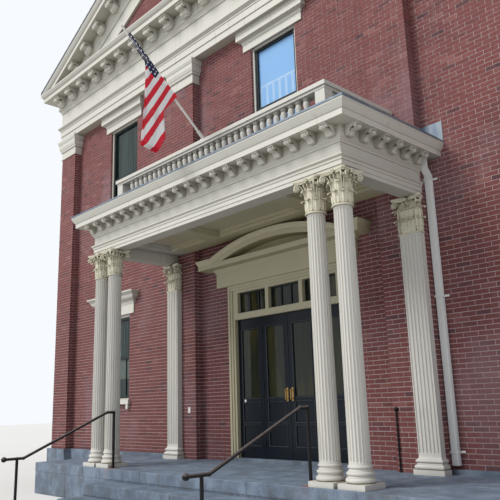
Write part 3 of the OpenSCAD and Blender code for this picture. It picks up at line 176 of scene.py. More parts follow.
class Wiring:
    """A node tree that is being wired, with a method for each kind of node the finishes use."""

    def __init__(self, tree: bpy.types.NodeTree, groups: Optional[Groups] = None) -> None:
        """Keep the tree whose nodes are added, and the shared groups."""
        self.tree = tree
        self.groups = groups or {}

    def node(self, kind: str, **settings: object) -> bpy.types.Node:
        """Add a node.

        Args:
            kind: Blender's name of the node type.
            settings: properties set on the node.
        Returns:
            The new node.
        """
        made = self.tree.nodes.new(kind)
        for name, value in settings.items():
            setattr(made, name, value)
        return made

    def put(self, socket: bpy.types.NodeSocket, value: Value) -> None:
        """Link a socket, or write a plain value into it.

        Args:
            socket: the input to fill.
            value: another node's output, a number or a tuple.
        """
        if isinstance(value, Signal):
            self.tree.links.new(value.socket, socket)
        elif isinstance(value, (int, float)) or len(value) != 3 or socket.type != "RGBA":
            socket.default_value = value
        else:
            socket.default_value = (*value, 1.0)

    def out(self, kind: str, inputs: Sockets, output: Union[int, str] = 0, **settings: object) -> Signal:
        """Add a node and fill its inputs.

        Args:
            kind: Blender's name of the node type.
            inputs: its values by name or number.
            output: the output that is wanted.
            settings: properties set on the node.
        Returns:
            That output.
        """
        made = self.node(kind, **settings)
        for key, value in inputs.items():
            self.put(made.inputs[key], value)
        return Signal(self, made.outputs[output])

    def place(self) -> Signal:
        """Return the Object coordinates."""
        return self.out("ShaderNodeTexCoord", {}, "Object")

    def stretched(self, *scale: float) -> Signal:
        """Return the Object coordinates stretched along the three axes."""
        return self.out("ShaderNodeMapping", {"Vector": self.place(), "Scale": scale})

    def noise(self, vector: Value, scale: Value, detail: float = 3.0, rough: float = 0.5) -> Signal:
        """Return a noise value between 0 and 1.

        Args:
            vector: coordinates.
            scale: lumps per metre.
            detail: octaves.
            rough: share of the finer octaves.
        Returns:
            The noise.
        """
        inputs = {"Vector": vector, "Scale": scale, "Detail": detail, "Roughness": rough}
        return self.out("ShaderNodeTexNoise", inputs)

    def cells(self, vector: Value, scale: float) -> Signal:
        """Return a random grey for each cell of a Voronoi pattern."""
        return self.split(self.out("ShaderNodeTexVoronoi", {"Vector": vector, "Scale": scale}, "Color"))[0]

    def split(self, vector: Value) -> list[Signal]:
        """Return the three parts of a vector."""
        made = self.out("ShaderNodeSeparateXYZ", {0: vector}).socket.node
        return [Signal(self, socket) for socket in made.outputs]

    def facing(self) -> Signal:
        """Return how far the surface looks up: 1 on a floor, 0 on a wall, -1 on a ceiling."""
        return self.split(self.out("ShaderNodeNewGeometry", {}, "Normal"))[2]

    def maths(self, operation: str, a: Value, b: Value = 0.0, clamp: bool = False) -> Signal:
        """Return the result of a Math node, kept between 0 and 1 where clamp is set."""
        return self.out("ShaderNodeMath", {0: a, 1: b}, operation=operation, use_clamp=clamp)

    def span(
        self, value: Value, low: Value, high: Value, to_low: float = 0.0, to_high: float = 1.0
    ) -> Signal:
        """Return a value mapped from one span to another, smoothly and clamped.

        Args:
            value: what is mapped.
            low: start of the first span.
            high: end of the first span.
            to_low: start of the second span.
            to_high: end of the second span.
        Returns:
            The mapped value.
        """
        inputs = dict(enumerate((value, low, high, to_low, to_high)))
        return self.out("ShaderNodeMapRange", inputs, interpolation_type="SMOOTHSTEP")

    def ramp(self, value: Value, *stops: tuple[float, Colour]) -> Signal:
        """Return a colour ramp's colour.

        Args:
            value: position on the ramp.
            stops: pairs of a position and a colour.
        Returns:
            The colour.
        """
        colour = self.out("ShaderNodeValToRGB", {0: value})
        marks = colour.socket.node.color_ramp.elements
        while len(marks) < len(stops):
            marks.new(0.5)
        for mark, (position, tone) in zip(marks, stops):
            mark.position = position
            mark.color = (*tone, 1.0)
        return colour

    def mix(self, share: Value, a: Value, b: Value) -> Signal:
        """Return the first colour with a share of the second."""
        return self.out("ShaderNodeMix", {0: share, 6: a, 7: b}, 2, data_type="RGBA")

    def shut_in(self, distance: float) -> Signal:
        """Return how far a point is shut in by its surroundings, 0 in the open and 1 in a corner."""
        seen = self.out("ShaderNodeAmbientOcclusion", {"Distance": distance}, "AO", samples=6)
        return self.maths("SUBTRACT", 1.0, seen, clamp=True)

    def bump(self, height: Value, strength: float, depth: float) -> Signal:
        """Return the normal bent by a height that spans so many metres."""
        return self.out("ShaderNodeBump", {"Strength": strength, "Distance": depth, "Height": height})

    def attribute(self, name: str) -> Signal:
        """Return the value of a mesh attribute."""
        return self.out("ShaderNodeAttribute", {}, "Fac", attribute_name=name)

    def group(self, effect: Effect, **inputs: float) -> list[Signal]:
        """Place a shared group.

        Args:
            effect: which group.
            inputs: values of its named inputs.
        Returns:
            Its outputs.
        """
        made = self.out("ShaderNodeGroup", {}, node_tree=self.groups[effect]).socket.node
        for name, value in inputs.items():
            self.put(made.inputs[name], value)
        return [Signal(self, socket) for socket in made.outputs]

    def weather(self, size: float, spread: float) -> list[Signal]:
        """Return broad stains and rain streaks."""
        return self.group(Effect.WEATHER, Size=size, Spread=spread)

    def grain(self, size: float) -> list[Signal]:
        """Return a fine and a coarse grain."""
        return self.group(Effect.GRAIN, Size=size)


class Effects:
    """The shader node groups of the shared effects, each built once."""

    def __init__(self) -> None:
        """Build both groups."""
        self.trees = {Effect.WEATHER: self.weather(), Effect.GRAIN: self.grain()}

    @staticmethod
    def start(
        effect: Effect, outputs: Iterable[str], **inputs: float
    ) -> tuple[Wiring, list[Signal], bpy.types.Node]:
        """Open a new group.

        Args:
            effect: the effect it makes.
            outputs: names of its number outputs.
            inputs: names and defaults of its number inputs.
        Returns:
            The wiring, what comes in, and the group's output node.
        """
        tree = bpy.data.node_groups.new(effect.value, "ShaderNodeTree")
        for label, default in inputs.items():
            socket = tree.interface.new_socket(label, in_out="INPUT", socket_type="NodeSocketFloat")
            socket.default_value = default
        for label in outputs:
            tree.interface.new_socket(label, in_out="OUTPUT", socket_type="NodeSocketFloat")
        w = Wiring(tree)
        given = w.node("NodeGroupInput").outputs
        return w, [Signal(w, given[label]) for label in inputs], w.node("NodeGroupOutput")

    def weather(self) -> bpy.types.NodeTree:
        """Build broad stains and rain streaks.

        Returns:
            The group with the outputs Stain and Streak.
        """
        w, (size, spread), out = self.start(Effect.WEATHER, ("Stain", "Streak"), Size=1.0, Spread=0.5)
        low = 0.75 - spread * 0.4
        broad = w.noise(w.place(), size, 4.0, 0.6)
        narrow = w.noise(w.stretched(7.0, 7.0, 0.55), 1.6, 4.0, 0.65)
        for name, source in (("Stain", broad), ("Streak", narrow)):
            w.put(out.inputs[name], w.span(source, low, low + 0.22))
        return w.tree

    def grain(self) -> bpy.types.NodeTree:
        """Build a fine and a coarse grain for colour and bump.

        Returns:
            The group with the outputs Fine and Coarse.
        """
        w, (size,), out = self.start(Effect.GRAIN, ("Fine", "Coarse"), Size=100.0)
        for name, share in (("Fine", 1.0), ("Coarse", 0.22)):
            w.put(out.inputs[name], w.noise(w.place(), size * share, 3.0, 0.6))
        return w.tree


# Finishes


def shade(colour: Colour, share: float) -> Colour:
    """Return a colour made darker or lighter."""
    return tuple(c * share for c in colour)


@dataclass(frozen=True)
class Finish:
    """A finish with a name; each kind has its own way of filling the shader's sockets."""

    name: str

    def build(self, groups: Groups) -> bpy.types.Material:
        """Make the material.

        Args:
            groups: the shared node groups.
        Returns:
            The finished material.
        """
        material = bpy.data.materials.new(self.name)
        material.use_nodes = True
        w = Wiring(material.node_tree, groups)
        shader = next(n for n in w.tree.nodes if n.type == "BSDF_PRINCIPLED")
        for name, value in self.wire(w).items():
            w.put(shader.inputs[name], value)
        return material

    def wire(self, w: Wiring) -> Sockets:
        """Wire the finish and return what goes into the shader's sockets."""
        raise NotImplementedError


@dataclass(frozen=True)
class Paint(Finish):
    """Old oil paint on wood or metal, with rain streaks and painted shade in its corners.

    Painted shade gathers within reach of a corner, between the two marks of bite, and in its own share on
    faces that look down. Under the porch a yellow-brown painted shade lies over the paint.
    """

    colour: Colour
    # The second colour darkens the rain streaks and is also laid as painted shade.
    grime_and_shade: Colour = (0.20, 0.17, 0.10)
    corner_shade_share: float = 0.5
    streak_share: float = 0.25
    reach: float = 0.12
    gloss: float = 0.45
    patches: float = 0.2
    # Shares of painted shade on faces that look down, and inside the porch.
    under: float = 0.0
    porch: float = 0.0
    shine: float = 0.5
    bite: Span = (0.35, 0.95)
    # Colour of the painted shade inside the porch.
    porch_shade: Colour = (0.36, 0.31, 0.13)

    def wire(self, w: Wiring) -> Sockets:
        """Wire paint, stains, streaks and painted shade in corners, under soffits and inside the porch.

        Args:
            w: the material's wiring.
        Returns:
            What goes into the shader's sockets.
        """
        stain, streak = w.weather(1.3, 0.45)
        fine, coarse = w.grain(90.0)
        base = w.mix(stain * 0.5, self.colour, shade(self.colour, 0.80))
        base = w.mix(streak * self.streak_share, base, self.grime_and_shade)
        # Painted shade: the second colour laid into corners that ambient occlusion finds.
        corner = w.span(w.shut_in(self.reach), *self.bite) * w.span(coarse, 0.25, 0.6, 0.55, 1.0)
        base = w.mix(corner * self.corner_shade_share, base, self.grime_and_shade)
        # Painted shade on faces that look down, in the second colour.
        if self.under:
            base = w.mix(w.span(w.facing(), -0.3, -0.9) * self.under, base, self.grime_and_shade)
        # Painted shade, yellow-brown, inside the porch under its roof.
        if self.porch:
            x, y, z = w.split(w.place())
            inside = w.span(abs(x), 2.5, 2.2) * w.span(y, -1.7 - MIDDLE, -0.9 - MIDDLE) * w.span(z, 4.7, 4.55)
            base = w.mix(inside * self.porch, base, self.porch_shade)
        rough = w.span(coarse, 0.2, 0.8, self.gloss, self.gloss + self.patches)
        return {
            "Base Color": base,
            "Specular IOR Level": self.shine,
            "Roughness": rough,
            "Normal": w.bump(fine, 0.25, 0.0008),
        }


@dataclass(frozen=True)
class Brick(Finish):
    """Red brick whose tone changes from brick to brick, with pale salts, darker towards the bottom."""

    dark: Colour = (0.060, 0.026, 0.036)
    middle: Colour = (0.170, 0.046, 0.046)
    light: Colour = (0.250, 0.098, 0.088)
    washed: Colour = (0.5, 0.42, 0.40)
    salts: Colour = (0.34, 0.25, 0.285)
    salt_share: float = 0.38

    def wire(self, w: Wiring) -> Sockets:
        """Wire each brick's tone, its face's grain and the broad stains.

        Args:
            w: the material's wiring.
        Returns:
            What goes into the shader's sockets.
        """
        stain, streak = w.weather(0.7, 0.5)
        fine, coarse = w.grain(160.0)
        stops = ((0.0, self.dark), (0.3, self.middle), (0.75, self.middle), (1.0, self.light))
        base = w.ramp(w.attribute("tone"), *stops)
        base = w.mix(w.span(coarse, 0.3, 0.75, 0.0, 0.45), base, self.light)
        base = w.mix(stain * 0.4, base, self.dark)
        base = w.mix(streak * 0.12, base, self.washed)
        salts = w.span(w.noise(w.stretched(1.0, 1.0, 0.7), 0.55, 5.0, 0.62), 0.50, 0.72)
        base = w.mix(salts * self.salt_share, base, self.salts)
        # Darker towards the bottom of the walls.
        darker_below = w.span(w.split(w.place())[2], 3.2, 6.2, 0.30, 0.0)
        base = w.mix(darker_below, base, shade(self.middle, 0.45))
        return {"Base Color": base, "Roughness": 0.88, "Normal": w.bump(fine, 0.5, 0.002)}


@dataclass(frozen=True)
class Mortar(Finish):
    """Pale lime mortar between the bricks, and plaster on the walls' inner faces."""

    colour: Colour = (0.50, 0.41, 0.42)
    sand: Colour = (0.32, 0.26, 0.24)
    plaster: Colour = (0.42, 0.40, 0.34)
    wall_t: float = 0.39

    def wire(self, w: Wiring) -> Sockets:
        """Wire mortar outside and plaster inside.

        Args:
            w: the material's wiring.
        Returns:
            What goes into the shader's sockets.
        """
        fine, _ = w.grain(220.0)
        stain, _ = w.weather(0.8, 0.5)
        x, y, _ = w.split(w.place())
        inside = (abs(x) < WALL_X - self.wall_t) * (abs(y - (DEPTH / 2 - MIDDLE)) < DEPTH / 2 - self.wall_t)
        outer = w.mix(stain * 0.6, self.colour, shade(self.colour, 0.6))
        outer = w.mix(w.span(fine, 0.35, 0.7, 0.0, 0.3), outer, self.sand)
        base = w.mix(inside, outer, self.plaster)
        return {"Base Color": base, "Roughness": 0.92, "Normal": w.bump(fine, 0.6, 0.0015)}


@dataclass(frozen=True)
class Granite(Finish):
    """Picked grey granite with blue and black grains, darkened by rain at its edges.

    Rust runs from the feet of the rail posts. Joints and corners get painted shade.
    """

    colour: Colour = (0.135, 0.178, 0.245)
    pale: Colour = (0.32, 0.40, 0.48)
    drip: Colour = (0.075, 0.073, 0.065)
    stain: Colour = (0.075, 0.075, 0.072)
    streak: Colour = (0.22, 0.21, 0.19)
    recess_shade: Colour = (0.05, 0.045, 0.035)
    rust: Colour = (0.33, 0.13, 0.05)
    posts: tuple[Point, ...] = RAIL_POSTS
    rust_run: float = 0.55

    def stone(self, w: Wiring) -> Signal:
        """Wire the clean stone, with its grains and clouds.

        Args:
            w: the material's wiring.
        Returns:
            The stone's colour.
        """
        light, dark = shade(self.colour, 1.45), shade(self.colour, 0.45)
        stops = ((0.0, dark), (0.22, self.colour), (0.75, self.colour), (1.0, light))
        base = w.ramp(w.cells(w.place(), 260.0), *stops)
        base = w.mix(w.span(w.attribute("tone"), 0.0, 1.0) * 0.35, base, light)
        cloud = w.noise(w.place(), 3.4, 7.0, 0.72)
        base = w.mix(w.span(cloud, 0.45, 0.66, 0.0, 0.5), base, shade(self.colour, 0.5))
        return w.mix(w.span(cloud, 0.52, 0.34, 0.0, 0.35), base, self.pale)

    def wire(self, w: Wiring) -> Sockets:
        """Wire the stone, the rain stains and the rust below the rail posts.

        Args:
            w: the material's wiring.
        Returns:
            What goes into the shader's sockets.
        """
        fine, coarse = w.grain(240.0)
        stain, streak = w.weather(1.1, 0.6)
        drips = w.span(w.noise(w.stretched(6.0, 6.0, 0.9), 1.0, 5.0, 0.7), 0.46, 0.66)
        height = w.span(w.split(w.place())[2], 0.02, 0.40, 0.12, 0.42)
        base = w.mix(drips * (abs(w.facing()) < 0.5) * height, self.stone(w), self.drip)
        base = w.mix(stain * 0.6, base, self.stain)
        base = w.mix(streak * 0.16, base, self.streak)
        # Painted shade in joints and corners that ambient occlusion finds.
        base = w.mix(w.span(w.shut_in(0.12), 0.3, 0.9) * 0.7, base, self.recess_shade)
        for x, y, z in self.posts:
            ends = {0: w.stretched(1.0, 1.0, self.rust_run), 1: (x, y, z * self.rust_run)}
            away = w.out("ShaderNodeVectorMath", ends, "Value", operation="DISTANCE")
            ragged = away + w.noise(w.stretched(14.0, 14.0, 4.0), 1.0) * 0.16
            base = w.mix(w.span(ragged, 0.08, 0.26, 0.85, 0.0), base, self.rust)
        return {
            "Base Color": base,
            "Roughness": w.span(coarse, 0.3, 0.7, 0.62, 0.85),
            "Normal": w.bump(fine + coarse * 1.5, 0.5, 0.0022),
        }


@dataclass(frozen=True)
class Slate(Finish):
    """Riven roof slate with lichen."""

    dark: Colour = (0.035, 0.040, 0.047)
    light: Colour = (0.115, 0.125, 0.140)
    chalk: Colour = (0.16, 0.17, 0.17)
    lichen: Colour = (0.15, 0.15, 0.10)

    def wire(self, w: Wiring) -> Sockets:
        """Wire each slate's tone, its riven face and lichen.

        Args:
            w: the material's wiring.
        Returns:
            What goes into the shader's sockets.
        """
        _, coarse = w.grain(90.0)
        stain, _ = w.weather(0.6, 0.45)
        base = w.ramp(w.attribute("tone"), (0.0, self.dark), (1.0, self.light))
        base = w.mix(w.span(coarse, 0.4, 0.8, 0.0, 0.4), base, self.chalk)
        base = w.mix(stain * 0.35, base, self.lichen)
        rough = w.span(coarse, 0.2, 0.8, 0.45, 0.7)
        return {"Base Color": base, "Roughness": rough, "Normal": w.bump(coarse, 0.6, 0.004)}


@dataclass(frozen=True)
class Sheet(Finish):
    """Folded sheet metal with a dull, clouded skin."""

    colour: Colour = (0.15, 0.20, 0.27)
    cloud: Colour = (0.25, 0.29, 0.33)
    streak: Colour = (0.36, 0.38, 0.36)

    def wire(self, w: Wiring) -> Sockets:
        """Wire the clouds, the dents and the dull metal.

        Args:
            w: the material's wiring.
        Returns:
            What goes into the shader's sockets.
        """
        _, coarse = w.grain(35.0)
        stain, streak = w.weather(2.0, 0.7)
        base = w.mix(streak * 0.4, w.mix(stain, self.colour, self.cloud), self.streak)
        return {
            "Base Color": base,
            "Metallic": 0.35,
            "Roughness": w.span(coarse, 0.2, 0.8, 0.38, 0.6),
            "Normal": w.bump(w.noise(w.place(), 5.0, 2.0), 0.35, 0.01),
        }


@dataclass(frozen=True)
class Glass(Finish):
    """Old window glass with blinds behind it, a little wavy.

    The window over the porch shows a painted blue sky reflection with its sash bars seen through it.
    The door glass shows the hall in painted shade, with a painted reflection of the porch ceiling.
    The lower windows have a blind drawn half down.
    """

    tint: Colour = (0.020, 0.042, 0.038)
    deep: Colour = (0.004, 0.009, 0.009)
    # Painted blue sky reflection over the porch, and the sash bars seen through it.
    bright: Colour = (0.30, 0.56, 0.95)
    slat: Colour = (0.58, 0.78, 1.0)
    blind: Colour = (0.115, 0.155, 0.135)
    # Painted reflection of the porch ceiling in the door glass, over the hall's painted shade.
    hall: Colour = (0.075, 0.066, 0.020)
    dusk: Colour = (0.018, 0.021, 0.012)
    slat_w: float = 0.115
    rod_w: float = 0.165
    slat_top: float = FLOOR + 6.86
    blind_z: Span = (FLOOR + 1.60, FLOOR + 2.05)

    def wave(self, w: Wiring, value: Signal, length: float, high: float) -> Signal:
        """Return soft stripes of a length along a value."""
        return w.span((value * (math.tau / length)).maths("SINE"), 0.1, high)

    def wire(self, w: Wiring) -> Sockets:
        """Wire slats, blinds, the door glass's painted shade and painted ceiling reflection, the painted sky
        reflection and the waves.

        Args:
            w: the material's wiring.
        Returns:
            What goes into the shader's sockets.
        """
        x, y, z = w.split(w.place())
        entrance = (y < 1.0 - MIDDLE) * (abs(x) < 1.5)
        high = z > UPPER_WINDOW[0]
        streak = w.noise(w.stretched(6.0, 6.0, 0.5), 1.0, 3.0, 0.55)
        base = w.mix(w.span(streak, 0.35, 0.65), self.deep, self.tint)
        base = w.mix(self.wave(w, x + y, self.slat_w, 0.9) * 0.45, base, shade(self.tint, 1.7))
        drawn_down = (z > self.blind_z[0]) * (z < self.blind_z[1]) * (1.0 - entrance)
        base = w.mix(drawn_down * 0.8, base, self.blind)
        # Door glass: the hall in painted shade, with a painted reflection of the porch ceiling growing
        # towards the top.
        hall = w.span(w.noise(w.stretched(5.0, 5.0, 0.8), 1.0, 3.0, 0.55), 0.46, 0.66, 0.0, 0.75)
        hall = hall * w.span(z, FLOOR + 1.5, FLOOR + 2.9, 0.45, 1.3)
        base = w.mix(entrance * (1.0 - high) * 0.85, base, w.mix(hall, self.dusk, self.hall))
        rods = self.wave(w, x, self.rod_w, 0.8) * (z < self.slat_top)
        rods = rods.maths("MAXIMUM", (z > self.slat_top) * (z < self.slat_top + 0.05))
        # Over the porch: painted blue sky reflection, with the sash bars seen through it.
        sky = w.mix(rods * w.span(streak, 0.3, 0.7, 0.35, 0.8), self.bright, self.slat)
        return {
            "Base Color": w.mix(entrance * high, base, sky),
            "Metallic": 0.0,
            "Transmission Weight": 0.15,
            "IOR": 1.5,
            "Specular IOR Level": 0.24,
            "Roughness": 0.05,
            "Normal": w.bump(w.noise(w.place(), 3.5, 2.0), 0.15, 0.004),
        }


@dataclass(frozen=True)
class Brass(Finish):
    """Handled brass, dark in its corners."""

    colour: Colour = (0.36, 0.23, 0.085)
    tarnish: Colour = (0.20, 0.12, 0.05)

    def wire(self, w: Wiring) -> Sockets:
        """Wire polish and tarnish.

        Args:
            w: the material's wiring.
        Returns:
            What goes into the shader's sockets.
        """
        _, coarse = w.grain(160.0)
        corner = w.span(w.shut_in(0.02), 0.2, 0.8) * 0.8
        share = w.maths("ADD", corner, w.span(coarse, 0.45, 0.8, 0.0, 0.35), clamp=True)
        base = w.mix(share, self.colour, self.tarnish)
        return {"Base Color": base, "Metallic": 1.0, "Roughness": w.span(coarse, 0.2, 0.8, 0.18, 0.42)}


@dataclass(frozen=True)
class Iron(Finish):
    """Painted iron pipe, worn to grey brown on top and rusting at its joints."""

    colour: Colour = (0.006, 0.006, 0.008)
    worn: Colour = (0.13, 0.108, 0.105)
    rust: Colour = (0.16, 0.06, 0.03)

    def wire(self, w: Wiring) -> Sockets:
        """Wire paint, wear on the upper side and rust specks.

        Args:
            w: the material's wiring.
        Returns:
            What goes into the shader's sockets.
        """
        fine, coarse = w.grain(120.0)
        wear = w.span(w.facing(), -0.1, 0.75) * w.span(coarse, 0.25, 0.6, 0.55, 1.0)
        base = w.mix(wear, self.colour, self.worn)
        base = w.mix(w.span(coarse, 0.62, 0.78, 0.0, 0.7), base, self.rust)
        return {
            "Base Color": base,
            "Specular IOR Level": 0.2,
            "Roughness": w.span(fine, 0.2, 0.8, 0.35, 0.65),
            "Normal": w.bump(fine, 0.3, 0.0006),
        }


@dataclass(frozen=True)
class Boards(Finish):
    """Oiled floor boards running from front to rear."""

    colour: Colour = (0.26, 0.15, 0.08)
    pale: Colour = (0.33, 0.21, 0.12)
    gap: Colour = (0.02, 0.015, 0.01)
    board_w: float = 0.14

    def wire(self, w: Wiring) -> Sockets:
        """Wire the boards' tones, grain and gaps.

        Args:
            w: the material's wiring.
        Returns:
            What goes into the shader's sockets.
        """
        board = w.split(w.place())[0].maths("DIVIDE", self.board_w)
        tone = w.out("ShaderNodeTexWhiteNoise", {"W": board.maths("FLOOR")}, "Value", noise_dimensions="1D")
        solid = abs(board.maths("FRACT") - 0.5) < 0.485
        grain = w.noise(w.stretched(60.0, 3.0, 3.0), 1.0, 4.0, 0.6)
        base = w.mix(grain, self.colour, shade(self.colour, 0.55))
        base = w.mix(tone * 0.4, base, self.pale)
        return {
            "Base Color": w.mix(solid, self.gap, base),
            "Roughness": 0.45,
            "Normal": w.bump(grain + solid * 2.0, 0.4, 0.002),
        }


@dataclass(frozen=True)
class Bunting(Finish):
    """Woven flag cloth: thirteen stripes and a blue corner with white stars, laid by its UV map.

    The corner's size is a share of the fly and a count of stripes. A line of stars has its pitch
    in stripes, and a star its core and the length of its points in shares of that pitch.
    """

    red: Colour = (0.76, 0.014, 0.040)
    white: Colour = (0.93, 0.93, 0.95)
    blue: Colour = (0.010, 0.018, 0.075)
    dust: Colour = (0.35, 0.32, 0.30)
    corner: Span = (0.4, 7.3)
    star_pitch: Span = (0.062 / 0.295, 0.062 / 0.0785)
    star: Span = (0.19, 0.075)

    def wire(self, w: Wiring) -> Sockets:
        """Wire stripes, corner, stars and weave.

        Args:
            w: the material's wiring.
        Returns:
            What goes into the shader's sockets.
        """
        parts = w.split(w.out("ShaderNodeUVMap", {}, "UV", uv_map="cut"))
        along, down = parts[0], parts[1] * 13.0
        even = down.maths("FLOOR").maths("PINGPONG", 1.0) < 0.5
        stripes = w.mix(even, self.white, self.red)
        line = down * (1.0 / self.star_pitch[1])
        column = along * (1.0 / self.star_pitch[0]) + 0.35 + line.maths("FLOOR").maths("PINGPONG", 1.0) * 0.5
        x, y = (value.maths("FRACT") - 0.5 for value in (column, line))
        points = (x.maths("ARCTAN2", y) * 5.0).maths("COSINE")
        star = (x * x + y * y).maths("SQRT") < points * self.star[1] + self.star[0]
        corner = (along < self.corner[0]) * (down < self.corner[1])
        base = w.mix(corner, stripes, w.mix(star, self.blue, self.white))
        base = w.mix(w.weather(3.0, 0.6)[0] * 0.18, base, self.dust)
        return {
            "Base Color": base,
            "Roughness": 0.8,
            "Sheen Weight": 0.3,
            "Sheen Roughness": 0.4,
            "Normal": w.bump(w.grain(300.0)[0], 0.4, 0.0006),
        }


@dataclass(frozen=True)
class PaleFloor(Finish):
    """The studio's floor, clouded a little."""

    light: Colour = (0.82, 0.82, 0.81)
    dark: Colour = (0.78, 0.78, 0.77)

    def wire(self, w: Wiring) -> Sockets:
        """Wire the clouds.

        Args:
            w: the material's wiring.
        Returns:
            What goes into the shader's sockets.
        """
        return {"Base Color": w.mix(w.noise(w.place(), 0.4, 3.0), self.dark, self.light), "Roughness": 0.9}


# In each paint the second colour and the first share lay painted shade in corners; under= lays painted shade
# on soffits and porch= inside the porch.
FINISHES = {
    Slot.BRICK: Brick("brick_faces"),
    Slot.GRANITE: Granite("picked_granite"),
    Slot.BOARDS: Boards("floor_boards"),
    Slot.SLATE: Slate("riven_slate"),
    Slot.METAL: Sheet("dull_sheet_metal"),
    Slot.TRIM: Paint(
        "trim_cream", (0.62, 0.61, 0.56), (0.17, 0.145, 0.085), 0.90, 0.42, 0.30,
        under=0.50, bite=(0.28, 0.90),
    ),
    Slot.COLUMN: Paint("column_cream", (0.62, 0.61, 0.57), (0.22, 0.175, 0.07), 0.95, 0.12, 0.10),
    # The porch paint also gets painted shade inside the porch.
    Slot.PORCH: Paint(
        "porch_cream", (0.62, 0.61, 0.56), (0.16, 0.14, 0.09), 0.90, 0.30, 0.35,
        under=0.45, porch=0.60, bite=(0.28, 0.90),
    ),
    Slot.SASH: Paint(
        "sash_black", (0.010, 0.016, 0.018), (0.03, 0.03, 0.02), 0.4, 0.1, 0.05,
        gloss=0.25, patches=0.1, shine=0.25,
    ),
    Slot.PANE: Glass("window_glass"),
    Slot.DOOR: Paint(
        "door_blue_black", (0.006, 0.0095, 0.015), (0.04, 0.04, 0.04), 0.35, 0.10, 0.03,
        gloss=0.18, patches=0.06, shine=0.17,
    ),
    Slot.BRASS: Brass("worn_brass"),
    Slot.RAIL: Iron("rail_iron"),
    Slot.POLE: Paint("pole_white", (0.76, 0.74, 0.70), (0.2, 0.17, 0.12), 0.4, 0.2, 0.03),
    Slot.PIPE: Paint("pipe_grey_white", (0.76, 0.77, 0.77), (0.24, 0.22, 0.17), 0.6, 0.25, 0.05),
    Slot.CLOTH: Bunting("flag_bunting"),
}
MORTAR = Mortar("lime_mortar")
MOULDING = Paint(
    "moulding_blue_black", (0.022, 0.029, 0.037), (0.05, 0.05, 0.045), 0.15, 0.10, 0.02,
    gloss=0.22, patches=0.1, shine=0.4,
)
# The carving's second colour at full share lays deep painted shade in its hollows, and under= painted shade
# below.
CARVING = Paint(
    "carving_cream", (0.66, 0.63, 0.50), (0.11, 0.085, 0.030), 1.0, 0.15, 0.045,
    gloss=0.5, under=0.45, bite=(0.12, 0.62),
)


class Stock:
    """The finished materials, each built once from its finish."""

    def __init__(self) -> None:
        """Build every finish."""
        groups = Effects().trees
        self.by_slot = {slot: finish.build(groups) for slot, finish in FINISHES.items()}
        self.mortar = MORTAR.build(groups)
        self.moulding = MOULDING.build(groups)
        self.carving = CARVING.build(groups)

    def dress_frame(self, nodes: dict[str, bpy.types.Object], record: dict) -> None:
        """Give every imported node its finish; walls show mortar between the laid bricks.

        Args:
            nodes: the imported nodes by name.
            record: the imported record, which names each node's slot.
        """
        slots = {row["node"]: Slot(row["material_slot"]) for row in record["subparts"]}
        for name, node in nodes.items():
            slot = slots[name]
            node.data.materials.clear()
            node.data.materials.append(self.mortar if slot is Slot.BRICK else self.by_slot[slot])


# Mesh helpers


def moved(x: float = 0.0, y: float = 0.0, z: float = 0.0) -> Matrix:
    """Return a move along the axes."""
    return Matrix.Translation((x, y, z))


def swung(degrees: float, axis: str = "Z") -> Matrix:
    """Return a turn about an axis."""
    return Matrix.Rotation(math.radians(degrees), 4, axis)


def drawn(bm: bmesh.types.BMesh) -> bpy.types.Mesh:
    """Make a mesh of a finished bmesh, which is freed.

    Args:
        bm: the bmesh.
    Returns:
        The mesh.
    """
    mesh = bpy.data.meshes.new("drawn")
    bm.normal_update()
    bm.to_mesh(mesh)
    bm.free()
    return mesh


def stamp(bm: bmesh.types.BMesh, mesh: bpy.types.Mesh, matrix: Optional[Matrix] = None) -> None:
    """Add a moved copy of a mesh.

    Args:
        bm: what it is added to.
        mesh: the mesh.
        matrix: where the copy goes, left where it is if left out.
    """
    verts, faces = len(bm.verts), len(bm.faces)
    bm.from_mesh(mesh)
    if matrix is None:
        return
    bm.verts.ensure_lookup_table()
    bm.faces.ensure_lookup_table()
    for vert in bm.verts[verts:]:
        vert.co = matrix @ vert.co
    if matrix.determinant() < 0.0:
        for face in bm.faces[faces:]:
            face.normal_flip()


def outwards(bm: bmesh.types.BMesh) -> None:
    """Turn all faces outwards."""
    bmesh.ops.recalc_face_normals(bm, faces=bm.faces[:])


def thickened(bm: bmesh.types.BMesh, thickness: float) -> bpy.types.Mesh:
    """Make a closed mesh of an open skin.

    Args:
        bm: the skin.
        thickness: how thick it gets.
    Returns:
        The mesh.
    """
    outwards(bm)
    bmesh.ops.solidify(bm, geom=bm.faces[:], thickness=thickness)
    outwards(bm)
    return drawn(bm)


def pulled(bm: bmesh.types.BMesh, edges: Sequence[bmesh.types.BMEdge]) -> tuple[list, list]:
    """Extrude a ring of edges in place.

    Args:
        bm: the mesh.
        edges: the ring.
    Returns:
        The new corners and the new ring.
    """
    geom = bmesh.ops.extrude_edge_only(bm, edges=edges)["geom"]
    verts = [g for g in geom if isinstance(g, bmesh.types.BMVert)]
    new = set(verts)
    ring = [g for g in geom if isinstance(g, bmesh.types.BMEdge) and new.issuperset(g.verts)]
    return verts, ring


